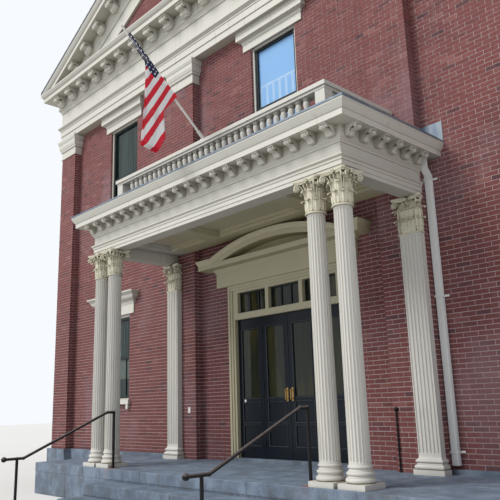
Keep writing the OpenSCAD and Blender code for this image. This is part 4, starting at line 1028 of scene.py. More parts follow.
def bar(path: Sequence[Vector], radii: Sequence[float], sides: int = 8) -> bpy.types.Mesh:
    """Draw a round bar along a path.

    Args:
        path: the points it follows.
        radii: its radius at each point.
        sides: corners round it.
    Returns:
        The closed mesh.
    """
    bm = bmesh.new()
    way = path[1] - path[0]
    foot = Matrix.Translation(path[0]) @ way.to_track_quat("Z", "Y").to_matrix().to_4x4()
    bmesh.ops.create_circle(bm, cap_ends=True, segments=sides, radius=radii[0], matrix=foot)
    edges = bm.edges[:]
    for i in range(1, len(path)):
        verts, edges = pulled(bm, edges)
        ahead = path[min(i + 1, len(path) - 1)] - path[i - 1]
        swing = way.rotation_difference(ahead)
        for vert in verts:
            vert.co = path[i] + swing @ (vert.co - path[i - 1]) * (radii[i] / radii[i - 1])
        way = ahead
    bmesh.ops.edgeloop_fill(bm, edges=edges)
    outwards(bm)
    return drawn(bm)


def turned(profile: Sequence[Span], steps: int = 48, closed: bool = False) -> bpy.types.Mesh:
    """Turn a profile about the upright axis.

    Args:
        profile: radius and height of its points.
        steps: steps round the turn.
        closed: whether the profile is a closed ring.
    Returns:
        The mesh.
    """
    bm = bmesh.new()
    verts = [bm.verts.new((r, 0.0, z)) for r, z in profile]
    edges = [bm.edges.new(pair) for pair in zip(verts, verts[1:])]
    if closed:
        edges.append(bm.edges.new((verts[-1], verts[0])))
    bmesh.ops.spin(bm, geom=verts + edges, axis=(0.0, 0.0, 1.0), angle=math.tau, steps=steps, use_merge=True)
    bmesh.ops.remove_doubles(bm, verts=bm.verts[:], dist=1e-5)
    outwards(bm)
    return drawn(bm)


def lofted(count: int, rings: Sequence, place: Callable[[int, Sequence], Vector]) -> bpy.types.Mesh:
    """Pull a ring of corners through a row of rings and close both ends.

    Args:
        count: corners round a ring.
        rings: what is known of each ring.
        place: where a corner lies, from its number and what is known of its ring.
    Returns:
        The closed mesh.
    """
    bm = bmesh.new()
    mark = bm.verts.layers.int.new("mark")
    verts = bmesh.ops.create_circle(bm, cap_ends=True, segments=count, radius=1.0)["verts"]
    edges = bm.edges[:]
    for index, vert in enumerate(verts):
        vert[mark] = index
    for level, ring in enumerate(rings):
        if level:
            verts, edges = pulled(bm, edges)
        for vert in verts:
            vert.co = place(vert[mark], ring)
    bmesh.ops.edgeloop_fill(bm, edges=edges)
    outwards(bm)
    bm.verts.layers.int.remove(mark)
    return drawn(bm)


def slab(bm: bmesh.types.BMesh, low: Sequence[float], high: Sequence[float], edge: float) -> None:
    """Add a box with its edges taken off.

    Args:
        bm: what it is added to.
        low: lowest corner.
        high: highest corner.
        edge: how much of the edges is taken off.
    """
    size = Vector(high) - Vector(low)
    matrix = Matrix.Translation((Vector(low) + Vector(high)) / 2) @ Matrix.Diagonal((*size, 1.0))
    one = bmesh.new()
    bmesh.ops.create_cube(one, size=1.0, matrix=matrix)
    bmesh.ops.bevel(one, geom=one.edges[:], offset=edge, affect="EDGES", segments=1, profile=0.5, material=-1)
    stamp(bm, drawn(one))


def loop_of(radius: float, width: float, height: float, count: int) -> list[Span]:
    """Return the closed profile of a ring with an oval section round a radius."""
    angles = (math.tau * k / count for k in range(count))
    return [(radius + width * math.cos(a), height * math.sin(a)) for a in angles]


def spread(half: float, step: float) -> list[float]:
    """Return places spread evenly to both sides of the middle."""
    return [sign * (i + 0.5) * step for i in range(math.floor(half / step - 0.5) + 1) for sign in (-1, 1)]


@dataclass
class Trade:
    """One trade's share of the work, settled in the scene with finishes from the stock."""

    stock: Stock

    def settle(
        self,
        mesh: bpy.types.Mesh,
        name: str,
        slot: Slot,
        body: str = "building",
        replaces: Sequence[str] = (),
        smooth: float = 0.0,
        material: Optional[bpy.types.Material] = None,
    ) -> bpy.types.Object:
        """Turn a finished mesh into a piece that rides on a body.

        Args:
            mesh: the mesh in the front's frame.
            name: the piece's name.
            slot: the slot it takes its finish from.
            body: the body it rides on.
            replaces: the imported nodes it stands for.
            smooth: the angle in degrees below which edges are smooth, 0 for none.
            material: a finish of its own in place of the slot's.
        Returns:
            The piece.
        """
        mesh.transform(moved(y=-MIDDLE))
        mesh.name = name
        mesh.materials.clear()
        mesh.materials.append(material or self.stock.by_slot[slot])
        if smooth:
            mesh.shade_smooth()
            mesh.set_sharp_from_angle(angle=math.radians(smooth))
        piece = bpy.data.objects.new(name, mesh)
        bpy.context.scene.collection.objects.link(piece)
        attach(piece, body)
        if replaces:
            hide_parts(*replaces)
        LOG.info("%s: %d faces", name, len(mesh.polygons))
        return piece


# Masonry


class Blocks:
    """Blocks laid by the thousand: one cube set on a point for each block, with its size and tone."""

    def __init__(self) -> None:
        """Start with no blocks."""
        self.points = bmesh.new()
        self.size = self.points.verts.layers.float_vector.new("size")
        self.turn = self.points.verts.layers.float_vector.new("turn")
        self.tone = self.points.verts.layers.float.new("tone")

    def lay(self, centre: Vector, size: Point, tone: float, turn: Point = (0.0, 0.0, 0.0)) -> None:
        """Lay one block.

        Args:
            centre: its middle.
            size: its three lengths before it is turned.
            tone: its tone from 0 to 1.
            turn: its turn about the three axes in radians.
        """
        point = self.points.verts.new(centre)
        point[self.size] = Vector(size)
        point[self.turn] = Vector(turn)
        point[self.tone] = tone

    def finish(self) -> bpy.types.Mesh:
        """Set a cube on every point and make the whole one mesh.

        Returns:
            The mesh of all blocks.
        """
        holder = bpy.data.objects.new("layout", drawn(self.points))
        bpy.context.scene.collection.objects.link(holder)
        holder.modifiers.new("lay", "NODES").node_group = self.laying_tree()
        seen = holder.evaluated_get(bpy.context.evaluated_depsgraph_get())
        mesh = bpy.data.meshes.new_from_object(seen)
        bpy.data.objects.remove(holder)
        for name in ("size", "turn"):
            if name in mesh.attributes:
                mesh.attributes.remove(mesh.attributes[name])
        return mesh

    @staticmethod
    def laying_tree() -> bpy.types.NodeTree:
        """Build the geometry nodes that set the cubes.

        Returns:
            The node tree.
        """
        tree = bpy.data.node_groups.new("lay_blocks", "GeometryNodeTree")
        for way in ("INPUT", "OUTPUT"):
            tree.interface.new_socket("Geometry", in_out=way, socket_type="NodeSocketGeometry")
        w = Wiring(tree)
        given, out = w.node("NodeGroupInput"), w.node("NodeGroupOutput")
        size, turn = (
            w.out("GeometryNodeInputNamedAttribute", {"Name": name}, "Attribute", data_type="FLOAT_VECTOR")
            for name in ("size", "turn")
        )
        inputs = {
            "Points": Signal(w, given.outputs[0]),
            "Instance": w.out("GeometryNodeMeshCube", {"Size": (1.0, 1.0, 1.0)}, "Mesh"),
            "Rotation": w.out("FunctionNodeEulerToRotation", {0: turn}),
            "Scale": size,
        }
        laid = w.out("GeometryNodeInstanceOnPoints", inputs)
        w.put(out.inputs[0], w.out("GeometryNodeRealizeInstances", {0: laid}))
        return tree


@dataclass(frozen=True)
class WallFace:
    """A flat stretch of brickwork seen from outside.

    start is the lower corner it is measured from, along the way it runs and out the way it looks.
    A flipped face staggers its joints the other way, so that corners bond.
    """

    start: Vector
    along: Vector
    out: Vector
    length: float
    top: float
    holes: tuple[Hole, ...] = ()
    flip: bool = False
    gable: bool = False


@dataclass
class Brickwork:
    """Bricks true to scale on every outer wall, laid course by course with staggered joints."""

    course: float = 0.067
    length: float = 0.215
    joint: float = 0.010
    proud: float = 0.0045
    sunk: float = 0.002
    least: float = 0.06
    least_run: float = 0.02
    least_rise: float = 0.012
    uneven: Span = (0.0006, 0.0012)
    tone: Span = (0.5, 0.22)
    rng: random.Random = field(default_factory=lambda: random.Random(1873))

    def rows(self, face: WallFace) -> Iterable[tuple[int, Hole]]:
        """Cut a face into the stretches of its courses.

        Args:
            face: the stretch of wall.
        Yields:
            The course's number, and its start, end, lower and upper edge.
        """
        number = math.floor((face.start.z - BASE_TOP) / self.course + 1e-6)
        while BASE_TOP + number * self.course <= face.top - self.least_run:
            low = BASE_TOP + number * self.course
            high = min(low + self.course - self.joint, face.top)
            low = max(low, face.start.z)
            inset = (high - face.start.z) / SLOPE if face.gable else 0.0
            stretches = [(inset, face.length - inset, low, high)]
            for hole in face.holes:
                stretches = [part for stretch in stretches for part in self.cut(stretch, hole)]
            for stretch in stretches:
                start, end, low, high = stretch
                if end - start > self.least_run and high - low > self.least_rise:
                    yield number, stretch
            number += 1

    @staticmethod
    def cut(stretch: Hole, hole: Hole) -> list[Hole]:
        """Cut a hole out of a stretch.

        Args:
            stretch: its start, end, lower and upper edge.
            hole: the same of the hole.
        Returns:
            What is left beside, below and above the hole.
        """
        a0, a1, z0, z1 = hole
        b0, b1, y0, y1 = stretch
        if a1 <= b0 or a0 >= b1 or z1 <= y0 or z0 >= y1:
            return [stretch]
        c0, c1 = max(a0, b0), min(a1, b1)
        return [(b0, a0, y0, y1), (a1, b1, y0, y1), (c0, c1, y0, z0), (c0, c1, z1, y1)]

    def lay_face(self, blocks: Blocks, face: WallFace) -> None:
        """Lay the bricks of one face.

        Args:
            blocks: what they are laid into.
            face: the stretch of wall.
        """
        thick = self.proud + self.sunk
        for number, (start, end, low, high) in self.rows(face):
            shift = (number + face.flip) % 2 * self.length / 2
            cuts = [start]
            place = math.ceil((start - shift + self.least) / self.length) * self.length + shift
            while place < end - self.least:
                cuts.append(place)
                place += self.length
            cuts.append(end)
            for a, b in zip(cuts, cuts[1:]):
                a += self.joint / 2 if a > start else 0.0
                b -= self.joint / 2 if b < end else 0.0
                middle = face.start + face.along * (a + b) / 2
                middle.z = (low + high) / 2 + self.rng.uniform(-self.uneven[0], self.uneven[0])
                out = self.proud + self.rng.uniform(-self.uneven[1], self.uneven[1]) - thick / 2
                size = [abs(face.along[i]) * (b - a) + abs(face.out[i]) * thick for i in range(2)]
                tone = min(1.0, max(0.0, self.rng.gauss(*self.tone)))
                blocks.lay(middle + face.out * out, (*size, high - low), tone)


@dataclass
class Walls(Trade):
    """All brick faces of the building and the pieces they are laid into."""

    bricks: Brickwork = field(default_factory=Brickwork)
    reveal: float = 0.038
    gable_in: float = 1.9

    def pier(
        self, corner: Vector, along: Vector, out: Vector, width: float, ends: tuple[bool, bool] = (True, True)
    ) -> list[WallFace]:
        """List the faces of a pilaster.

        Args:
            corner: the start of its outer face, where its brickwork starts.
            along: the way it runs.
            out: the way it looks.
            width: its width.
            ends: whether its two sides show.
        Returns:
            Its outer face and the sides that show.
        """
        lip = self.bricks.proud
        faces = [WallFace(corner - along * lip, along, out, width + 2 * lip, ARCH_Z)]
        if ends[0]:
            faces.append(WallFace(corner - out * PILASTER, out, -along, PILASTER, ARCH_Z, flip=True))
        if ends[1]:
            start = corner + along * width - out * PILASTER
            faces.append(WallFace(start, out, along, PILASTER, ARCH_Z, flip=True))
        return faces

    def front(self, rear: bool) -> list[WallFace]:
        """List the faces of the front or of the rear wall.

        Args:
            rear: whether they are those of the rear wall.
        Returns:
            The faces.
        """
        flip = -1.0 if rear else 1.0
        along, out = ACROSS * flip, BACK * -flip
        feet = BASE_TOP if rear else FLOOR

        def at(x: float, z: float, lift: float = 0.0) -> Vector:
            """Return the point of the wall at a distance from the middle, as seen from outside."""
            return Vector((flip * x, (DEPTH if rear else 0.0) - flip * lift, z))

        def hole(x: float, origin: float, window: Span) -> Hole:
            """Return a window opening as a face needs it."""
            return x - WINDOW_W / 2 - origin, x + WINDOW_W / 2 - origin, *window

        faces = []
        for side in (-1, 1):
            origin = -HALF + CORNER_W if side < 0 else INNER_OUT
            lower = hole(side * LOWER_X[2], origin, LOWER_WINDOW)
            holes = (lower, hole(side * UPPER_X[2], origin, UPPER_WINDOW))
            width = HALF - CORNER_W - INNER_OUT
            faces.append(WallFace(at(origin, BASE_TOP), along, out, width, ARCH_Z, holes))
            corner = at(-HALF if side < 0 else HALF - CORNER_W, BASE_TOP, PILASTER)
            faces += self.pier(corner, along, out, CORNER_W, (side > 0, side < 0))
            inner = at(-INNER_OUT if side < 0 else INNER_IN, feet, PILASTER)
            faces += self.pier(inner, along, out, INNER_OUT - INNER_IN)
        door = (INNER_IN - DOOR_FRAME_HALF, INNER_IN + DOOR_FRAME_HALF, 0.0, DOOR_FRAME_TOP)
        below = hole(0.0, -INNER_IN, LOWER_WINDOW) if rear else door
        holes = (hole(0.0, -INNER_IN, UPPER_WINDOW), below)
        faces.append(WallFace(at(-INNER_IN, feet), along, out, 2 * INNER_IN, ARCH_Z, holes))
        half = EAVE_X - self.gable_in
        start = at(-half, CORNICE_TOP, PILASTER)
        faces.append(WallFace(start, along, out, 2 * half, CORNICE_TOP + half * SLOPE, gable=True))
        return faces

    def side(self, right: bool) -> list[WallFace]:
        """List the faces of one long side.

        Args:
            right: whether it is the right side.
        Returns:
            The faces.
        """
        sign = 1.0 if right else -1.0
        along, out = BACK * sign, ACROSS * sign
        faces = []
        width = SIDE_PITCH - CORNER_W
        windows = ((width - WINDOW_W) / 2, (width + WINDOW_W) / 2)
        holes = tuple((*windows, *window) for window in (LOWER_WINDOW, UPPER_WINDOW))
        for i in range(SIDE_BAYS):
            y = -PILASTER + i * SIDE_PITCH + CORNER_W + (0.0 if right else width)
            faces.append(WallFace(Vector((sign * WALL_X, y, BASE_TOP)), along, out, width, ARCH_Z, holes))
        for i in range(SIDE_BAYS + 1):
            y = -PILASTER + i * SIDE_PITCH + (0.0 if right else CORNER_W)
            shown = (i > 0, i < SIDE_BAYS)
            corner = Vector((sign * HALF, y, BASE_TOP))
            faces += self.pier(corner, along, out, CORNER_W, shown if right else shown[::-1])
        return faces

    def reveals(self, blocks: Blocks, x: float, window: Span, rear: bool) -> None:
        """Lay the brick ends that show inside an opening, in front of its frame.

        Args:
            blocks: what they are laid into.
            x: the window's middle.
            window: the opening's lower and upper edge.
            rear: whether the window is in the rear wall.
        """
        y = DEPTH - self.reveal / 2 if rear else self.reveal / 2
        thick, height = self.bricks.proud, self.bricks.course - self.bricks.joint
        number = math.ceil((window[0] - BASE_TOP) / self.bricks.course)
        while BASE_TOP + number * self.bricks.course < window[1] - self.bricks.least:
            z = BASE_TOP + number * self.bricks.course + height / 2
            for sign in (-1, 1):
                place = Vector((x + sign * (WINDOW_W / 2 - thick / 2), y, z))
                blocks.lay(place, (thick, self.reveal, height), self.bricks.rng.random())
            number += 1

    def build(self) -> None:
        """Lay every wall and settle the pieces."""
        for name, rear in (("bricks_front", False), ("bricks_rear", True)):
            blocks = Blocks()
            for face in self.front(rear):
                self.bricks.lay_face(blocks, face)
            for xs, window in ((UPPER_X, UPPER_WINDOW), (LOWER_X, LOWER_WINDOW)):
                for x in xs:
                    if rear or x or window is UPPER_WINDOW:
                        self.reveals(blocks, x, window, rear)
            self.settle(blocks.finish(), name, Slot.BRICK)
        for name, right in (("bricks_left", False), ("bricks_right", True)):
            blocks = Blocks()
            for face in self.side(right):
                self.bricks.lay_face(blocks, face)
            self.settle(blocks.finish(), name, Slot.BRICK)


@dataclass
class Roof(Trade):
    """Slates on both slopes and the ridge's metal cover."""

    exposure: float = 0.21
    lap: float = 0.06
    width: float = 0.29
    gap: float = 0.004
    thick: float = 0.009
    slip: float = 0.004
    row_lift: float = 0.00002
    least: float = 0.04
    lead: float = 0.006
    wing: float = 0.2
    wing_out: float = 0.085
    wing_down: float = 0.015
    roll_r: float = 0.028
    rng: random.Random = field(default_factory=lambda: random.Random(41))

    def slates(self, right: bool) -> None:
        """Lay one slope.

        Args:
            right: whether it is the right slope.
        """
        sign = 1.0 if right else -1.0
        along = Vector((sign * math.cos(PITCH), 0.0, -math.sin(PITCH)))
        normal = Vector((sign * math.sin(PITCH), 0.0, math.cos(PITCH)))
        run, length = EAVE_X / math.cos(PITCH), self.exposure + self.lap
        turn = (0.0, sign * (PITCH - math.atan(self.thick / self.exposure)), 0.0)
        blocks = Blocks()
        row = 0
        while row * self.exposure < run - self.least / 2:
            down = max(run - row * self.exposure - length / 2, length / 2)
            lift = self.thick * 1.1 + row * self.row_lift
            middle = Vector((0.0, 0.0, RIDGE_TOP)) + along * down + normal * lift
            y = ROOF_Y[0] - (row % 2) * self.width / 2
            while y < ROOF_Y[1] - self.least:
                a, b = max(y, ROOF_Y[0]), min(y + self.width - self.gap, ROOF_Y[1])
                y += self.width
                if b - a < self.least:
                    continue
                slip = along * self.rng.uniform(-self.slip, self.slip)
                place = Vector((middle.x, (a + b) / 2, middle.z)) + slip
                blocks.lay(place, (length, b - a, self.thick), self.rng.random(), turn)
            row += 1
        self.settle(blocks.finish(), "slates_right" if right else "slates_left", Slot.SLATE)

    def build(self) -> None:
        """Lay both slopes and fold the ridge's cover."""
        for right in (False, True):
            self.slates(right)
        middle, length = sum(ROOF_Y) / 2, ROOF_Y[1] - ROOF_Y[0]
        bm = bmesh.new()
        for sign in (-1, 1):
            size = Matrix.Diagonal((self.wing, length + 0.01, self.lead, 1.0))
            lean = Matrix.Rotation(sign * PITCH, 4, "Y")
            place = moved(sign * self.wing_out, middle, RIDGE_TOP - self.wing_down) @ lean
            bmesh.ops.create_cube(bm, size=1.0, matrix=place @ size)
        roll = {"segments": 16, "radius1": self.roll_r, "radius2": self.roll_r, "depth": length + 0.012}
        place = moved(0.0, middle, RIDGE_TOP + self.roll_r) @ swung(90.0, "X")
        bmesh.ops.create_cone(bm, cap_ends=True, matrix=place, **roll)
        self.settle(drawn(bm), "ridge_cover", Slot.METAL, smooth=40.0)


@dataclass
class Stonework(Trade):
    """Granite blocks of the base, the platform's edge and slabs, and the steps, with open joints."""

    joint: float = 0.008
    proud: float = 0.006
    edge: float = 0.006
    bed: float = 0.02
    lip: float = 0.08
    corner_in: float = 0.45
    uneven: float = 0.12
    slab_t: float = 0.16
    slab_lift: float = 0.0025
    riser: float = 0.17
    lengths: tuple[float, float, float] = (1.2, 1.3, 1.5)
    slab_cuts: tuple[float, ...] = (-4.75, -2.95, -1.2, 1.2, 2.95, 4.75)
    slab_y: tuple[float, float, float] = (-2.08, -1.05, -PILASTER - 0.08)
    step_half: float = 2.2
    step_tops: Span = (0.37, 0.185)
    tread: float = 0.42
    block_corners: int = 24
    rng: random.Random = field(default_factory=lambda: random.Random(7))

    def row(self, bm: bmesh.types.BMesh, a: Span, b: Span, top: float, out: Vector, length: float) -> None:
        """Lay a row of blocks against an upright face that starts on the ground.

        Args:
            bm: what they are added to.
            a: one end of the face in plan.
            b: its other end.
            top: the row's upper edge.
            out: the way the face looks.
            length: about how long a block is.
        """
        foot, way = Vector((*a, 0.0)), Vector((*b, 0.0)) - Vector((*a, 0.0))
        count = max(1, round(way.length / length))
        shifts = [self.rng.uniform(-self.uneven, self.uneven) for _ in range(1, count)]
        cuts = [0.0, *((i + s) / count * way.length for i, s in enumerate(shifts, 1)), way.length]
        for start, end in zip(cuts, cuts[1:]):
            near = foot + way.normalized() * (start + self.joint / 2) - out * self.bed
            far = foot + way.normalized() * (end - self.joint / 2) + out * self.proud
            low, high = ([pick(near[i], far[i]) for i in range(2)] for pick in (min, max))
            slab(bm, (*low, 0.0), (*high, top), self.edge)

    def build(self) -> None:
        """Lay every block and settle the piece."""
        bm = bmesh.new()
        front, low, (short, middling, long) = self.slab_y[0], FLOOR - self.riser, self.lengths
        near, far = self.corner_in, DEPTH - self.corner_in
        for sign in (-1, 1):
            plane, edge = sign * (WALL_X + self.lip), sign * self.slab_cuts[-1]
            self.row(bm, (plane, near), (plane, far), BASE_TOP, ACROSS * sign, long)
            self.row(bm, (edge, front), (edge, -self.lip), low, ACROSS * sign, short)
            left, right = sorted((edge, sign * (HALF - CORNER_W)))
            self.row(bm, (left, -self.lip), (right, -self.lip), BASE_TOP, -BACK, middling)
            left, right = sorted((edge, sign * self.step_half))
            self.row(bm, (left, front), (right, front), low, -BACK, middling)
        half, plane = HALF - CORNER_W, DEPTH + self.lip
        self.row(bm, (-half, plane), (half, plane), BASE_TOP, BACK, long)
        self.slabs(bm)
        mesh = drawn(bm)
        for index, value in enumerate(mesh.attributes.new("tone", "FLOAT", "POINT").data):
            value.value = random.Random(index // self.block_corners).random()
        self.settle(mesh, "granite_blocks", Slot.GRANITE, smooth=30.0)

    def slabs(self, bm: bmesh.types.BMesh) -> None:
        """Lay the platform's slabs and the treads.

        Args:
            bm: what they are added to.
        """
        out, half_joint, lift = self.proud, self.joint / 2, self.slab_lift
        cuts, (front, *_) = self.slab_cuts, self.slab_y
        for x0, x1 in zip(cuts, cuts[1:]):
            for y0, y1 in zip(self.slab_y, self.slab_y[1:]):
                left = x0 - out if x0 == cuts[0] else x0 + half_joint
                right = x1 + out if x1 == cuts[-1] else x1 - half_joint
                near = y0 - out if y0 == front else y0 + half_joint
                slab(bm, (left, near, FLOOR - self.slab_t), (right, y1 - half_joint, FLOOR + lift), self.edge)
        for step, top in enumerate(self.step_tops, 1):
            y = front - (step - 1) * self.tread
            low, high, cut = top - self.riser, top + lift, -0.35 + 0.5 * step
            ends = ((-self.step_half - out, cut - half_joint), (cut + half_joint, self.step_half + out))
            for left, right in ends:
                slab(bm, (left, y - self.tread - out, low), (right, y - self.joint, high), self.edge)


# Columns and carving


@dataclass
class Shaft:
    """A tapering column shaft with hollow, round-ended flutes.

    The steps are the places across a flute, as shares of its pitch, and how hollow it is there.
    """

    foot: float = FLOOR + 0.234
    head: float = FLOOR + 3.294
    low_r: float = 0.127
    high_r: float = 0.117
    flutes: int = 20
    depth: float = 0.0145
    plain: Span = (0.055, 0.030)
    swell: float = 1.5
    steps: tuple[Span, ...] = (
        (0.0, 0.0), (0.17, 0.0), (0.215, 0.50), (0.32, 0.83), (0.585, 1.0), (0.85, 0.83), (0.955, 0.50),
    )
    fillet: tuple[Span, ...] = ((0.0, 0.016), (0.016, 0.014), (0.022, 0.005), (0.045, 0.0))

    def rings(self) -> list[tuple[float, float, float]]:
        """List the shaft's rings from foot to head.

        Returns:
            The height, radius and depth of flute of each ring.
        """
        end = 0.5 * math.tau * self.low_r / self.flutes
        low, high = self.foot + self.plain[0], self.head - self.plain[1]
        rounded = [(t, math.sqrt(1 - (1 - t) ** 2)) for t in (0.0, 0.12, 0.4, 1.0)]
        made = [(self.foot + z, add, 0.0) for z, add in self.fillet]
        made += [(low + end * t, 0.0, share) for t, share in rounded]
        made += [(low + (high - low) * t, 0.0, 1.0) for t in (0.2, 0.4, 0.6, 0.8)]
        made += [(high - end * t, 0.0, share) for t, share in rounded[::-1]]
        made.append((self.head + 0.002, 0.0, 0.0))
        rise, taper = self.head - self.foot, self.high_r - self.low_r
        return [
            (z, self.low_r + taper * ((z - self.foot) / rise) ** self.swell + add, share)
            for z, add, share in made
        ]

    def corner(self, mark: int, ring: tuple[float, float, float]) -> Vector:
        """Place a corner of a ring.

        Args:
            mark: the corner's number.
            ring: the ring's height, radius and depth of flute.
        Returns:
            Its place.
        """
        z, radius, share = ring
        flute, step = divmod(mark, len(self.steps))
        place, hollow = self.steps[step]
        angle = (flute + place) / self.flutes * math.tau
        reach = radius - self.depth * share * hollow
        return Vector((reach * math.cos(angle), reach * math.sin(angle), z))

    def mesh(self) -> bpy.types.Mesh:
        """Return the shaft, drawn at the origin."""
        return lofted(self.flutes * len(self.steps), self.rings(), self.corner)


@dataclass(frozen=True)
class Leaf:
    """A carved leaf that lies on a bell and curls over at its tip.

    The curl is the radius on which the tip turns, by a share of half a turn. The midrib has
    its height and its breadth, as a share of the half leaf.
    """

    height: float
    width: float
    curl: float
    thick: float = 0.006
    turn: float = 0.95
    crown: float = 0.006
    lobes: float = 3.6
    midrib: Span = (0.0085, 0.14)
    veins: float = 0.0055
    edge_lift: float = 0.008
    across: int = 12
    up: int = 16

    def mesh(self, bell: Callable[[float], float], wrap: bool) -> bpy.types.Mesh:
        """Draw the leaf with its foot at the origin.

        Args:
            bell: how far out the bell is at a height above the leaf's foot.
            wrap: whether the leaf bends round the bell, or lies on a flat face.
        Returns:
            The closed mesh.
        """
        bm = bmesh.new()
        bmesh.ops.create_grid(bm, x_segments=self.across, y_segments=self.up, size=1.0)
        straight = self.height - self.curl
        length = straight + self.curl * math.pi * self.turn
        for vert in bm.verts:
            u, t = vert.co.x, (vert.co.y + 1.0) / 2.0
            run = t * length
            turn = max(0.0, run - straight) / self.curl
            z = min(run, straight) + self.curl * math.sin(turn)
            crown = self.crown * math.sin(math.pi * min(t * 1.2, 1.0))
            out = self.curl * (1.0 - math.cos(turn)) + crown
            lobe = abs(math.sin(math.pi * (self.lobes * t + 0.1)))
            belly = 0.62 + 0.42 * math.sin(math.pi * min(t * 1.1, 1.0))
            half = self.width / 2 * belly * (1.0 - 0.6 * max(0.0, t - 0.72) / 0.28) * (0.74 + 0.28 * lobe)
            relief = self.midrib[0] * math.exp(-((u / self.midrib[1]) ** 2))
            veins = self.veins * math.cos(3.0 * math.pi * u) * (1 - abs(u))
            relief += veins + self.edge_lift * abs(u) * (lobe - 0.4)
            reach = bell(z) + out + relief * (1.0 - 0.5 * t) * min(1.0, 0.25 + 3.0 * t)
            angle = u * half / bell(0.0)
            flat = (u * half, bell(0.0) - reach, z)
            vert.co = (reach * math.sin(angle), -reach * math.cos(angle), z) if wrap else flat
        return thickened(bm, self.thick)


@dataclass
class Carving:
    """The parts that the carved capitals are put together from, drawn for a bell at the origin."""

    height: float = 0.449
    neck_r: float = 0.117
    lip_r: float = 0.150
    abacus_h: float = 0.056
    abacus_half: float = 0.212
    hollow: float = 0.040
    side_steps: int = 18
    flower_r: float = 0.034
    petals: float = 5.0
    stalk_steps: int = 7
    turn_steps: int = 14
    stalk_foot: float = 0.75
    wind_in: float = 0.78
    taper: float = 0.35
    moulding: tuple[Span, ...] = (
        (0.0, 0.86), (0.004, 0.91), (0.018, 0.93), (0.026, 0.955), (0.030, 0.99), (0.034, 1.0), (0.056, 1.0)
    )

    def bell(self, z: float) -> float:
        """Return the bell's radius at a height above the capital's foot."""
        share = min(1.0, max(0.0, z / (self.height - self.abacus_h)))
        return self.neck_r + (self.lip_r - self.neck_r) * share ** 2.4

    def scroll(self, start: Span, eye: Span, radius: float, thick: float, turns: float) -> bpy.types.Mesh:
        """Draw a stalk that rises from the bell and winds into a scroll, in the plane x = 0.

        Args:
            start: distance from the axis and height of the stalk's foot.
            eye: distance and height of the scroll's eye.
            radius: outer radius of the scroll.
            thick: the bar's radius at its foot.
            turns: how often it winds round.
        Returns:
            The mesh, which runs towards -y.
        """
        path, radii = [], []
        for i in range(self.stalk_steps):
            t = i / self.stalk_steps
            out = start[0] + (eye[0] - start[0]) * t ** 1.9
            z = start[1] + (eye[1] + radius - start[1]) * math.sin(t * math.pi / 2) ** 0.9
            path.append(Vector((0.0, -out, z)))
            radii.append(thick * (self.stalk_foot + (1.0 - self.stalk_foot) * t))
        count = int(turns * self.turn_steps)
        for i in range(count + 1):
            t = i / count
            angle, reach = math.pi / 2 - t * turns * math.tau, radius * (1.0 - self.wind_in * t)
            path.append(Vector((0.0, -(eye[0] + reach * math.cos(angle)), eye[1] + reach * math.sin(angle))))
            radii.append(thick * (1.0 - self.taper * t))
        return bar(path, radii)

    def button(self, eye: Span, radius: float, width: float) -> bpy.types.Mesh:
        """Draw the round body that a scroll winds on.

        Args:
            eye: distance from the axis and height of its middle.
            radius: its radius.
            width: its length.
        Returns:
            The mesh, with its axis along x.
        """
        steps = ((0.0, 1.25), (0.35, 1.2), (0.5, 1.0), (1.0, 0.9))
        cap = [(share * radius, z * width / 2) for share, z in steps]
        mesh = turned([(r, -z) for r, z in cap] + [(0.86 * radius, 0.0)] + cap[::-1], 16)
        mesh.transform(moved(0.0, -eye[0], eye[1]) @ swung(90.0, "Y"))
        return mesh

    def flower(self) -> bpy.types.Mesh:
        """Draw the flower on the middle of the abacus, in front of the axis.

        Returns:
            The mesh.
        """
        bm = bmesh.new()
        bmesh.ops.create_uvsphere(bm, u_segments=30, v_segments=14, radius=self.flower_r)
        for vert in bm.verts:
            away = vert.co.xy.length / self.flower_r
            swell = 1.0 + 0.20 * away * math.cos(self.petals * math.atan2(vert.co.y, vert.co.x))
            dent = 1.0 - 0.35 * math.exp(-(((away - 0.42) / 0.12) ** 2))
            vert.co = Vector((vert.co.x * swell, vert.co.y * swell, vert.co.z * 0.75 * dent))
        place = moved(0.0, -self.abacus_half + self.hollow - 0.004, self.height - 0.035) @ swung(90.0, "X")
        bmesh.ops.transform(bm, verts=bm.verts[:], matrix=place)
        return drawn(bm)

    def corner(self, mark: int, ring: Span) -> Vector:
        """Place a corner of the abacus, which has four hollow sides and cut corners.

        Args:
            mark: the corner's number.
            ring: the height and share of the full width.
        Returns:
            Its place.
        """
        side, step = divmod(mark, self.side_steps)
        t = 2.0 * (step + 0.5) / self.side_steps - 1.0
        t = max(-1.0, min(1.0, t * (1.0 + 0.5 / self.side_steps)))
        out, run = self.abacus_half - self.hollow * (1.0 - t * t), 0.88 * self.abacus_half * t
        place = swung(90.0 * side) @ Vector((out * ring[1], run * ring[1], 0.0))
        place.z = self.height - self.abacus_h + ring[0]
        return place

    def abacus(self) -> bpy.types.Mesh:
        """Return the moulded slab on top of the capital."""
        return lofted(4 * self.side_steps, self.moulding, self.corner)

    def scrolls(self) -> bpy.types.Mesh:
        """Draw the two scrolls and the button of one corner, seen from the axis towards -y.

        Returns:
            The mesh.
        """
        eye = (0.230, self.height - self.abacus_h - 0.042)
        bm = bmesh.new()
        arm = self.scroll((0.128, 0.20), eye, 0.038, 0.0115, 1.6)
        for sign in (-1, 1):
            stamp(bm, arm, swung(sign * 6.5))
        stamp(bm, self.button(eye, 0.024, 0.060))
        return drawn(bm)

    def tendrils(self) -> bpy.types.Mesh:
        """Draw the two inner scrolls under the flower.

        Returns:
            The mesh.
        """
        bm = bmesh.new()
        arm = self.scroll((0.126, 0.22), (0.166, self.height - self.abacus_h - 0.044), 0.024, 0.0078, 1.3)
        for sign in (-1, 1):
            stamp(bm, arm, swung(sign * 9.0))
        return drawn(bm)


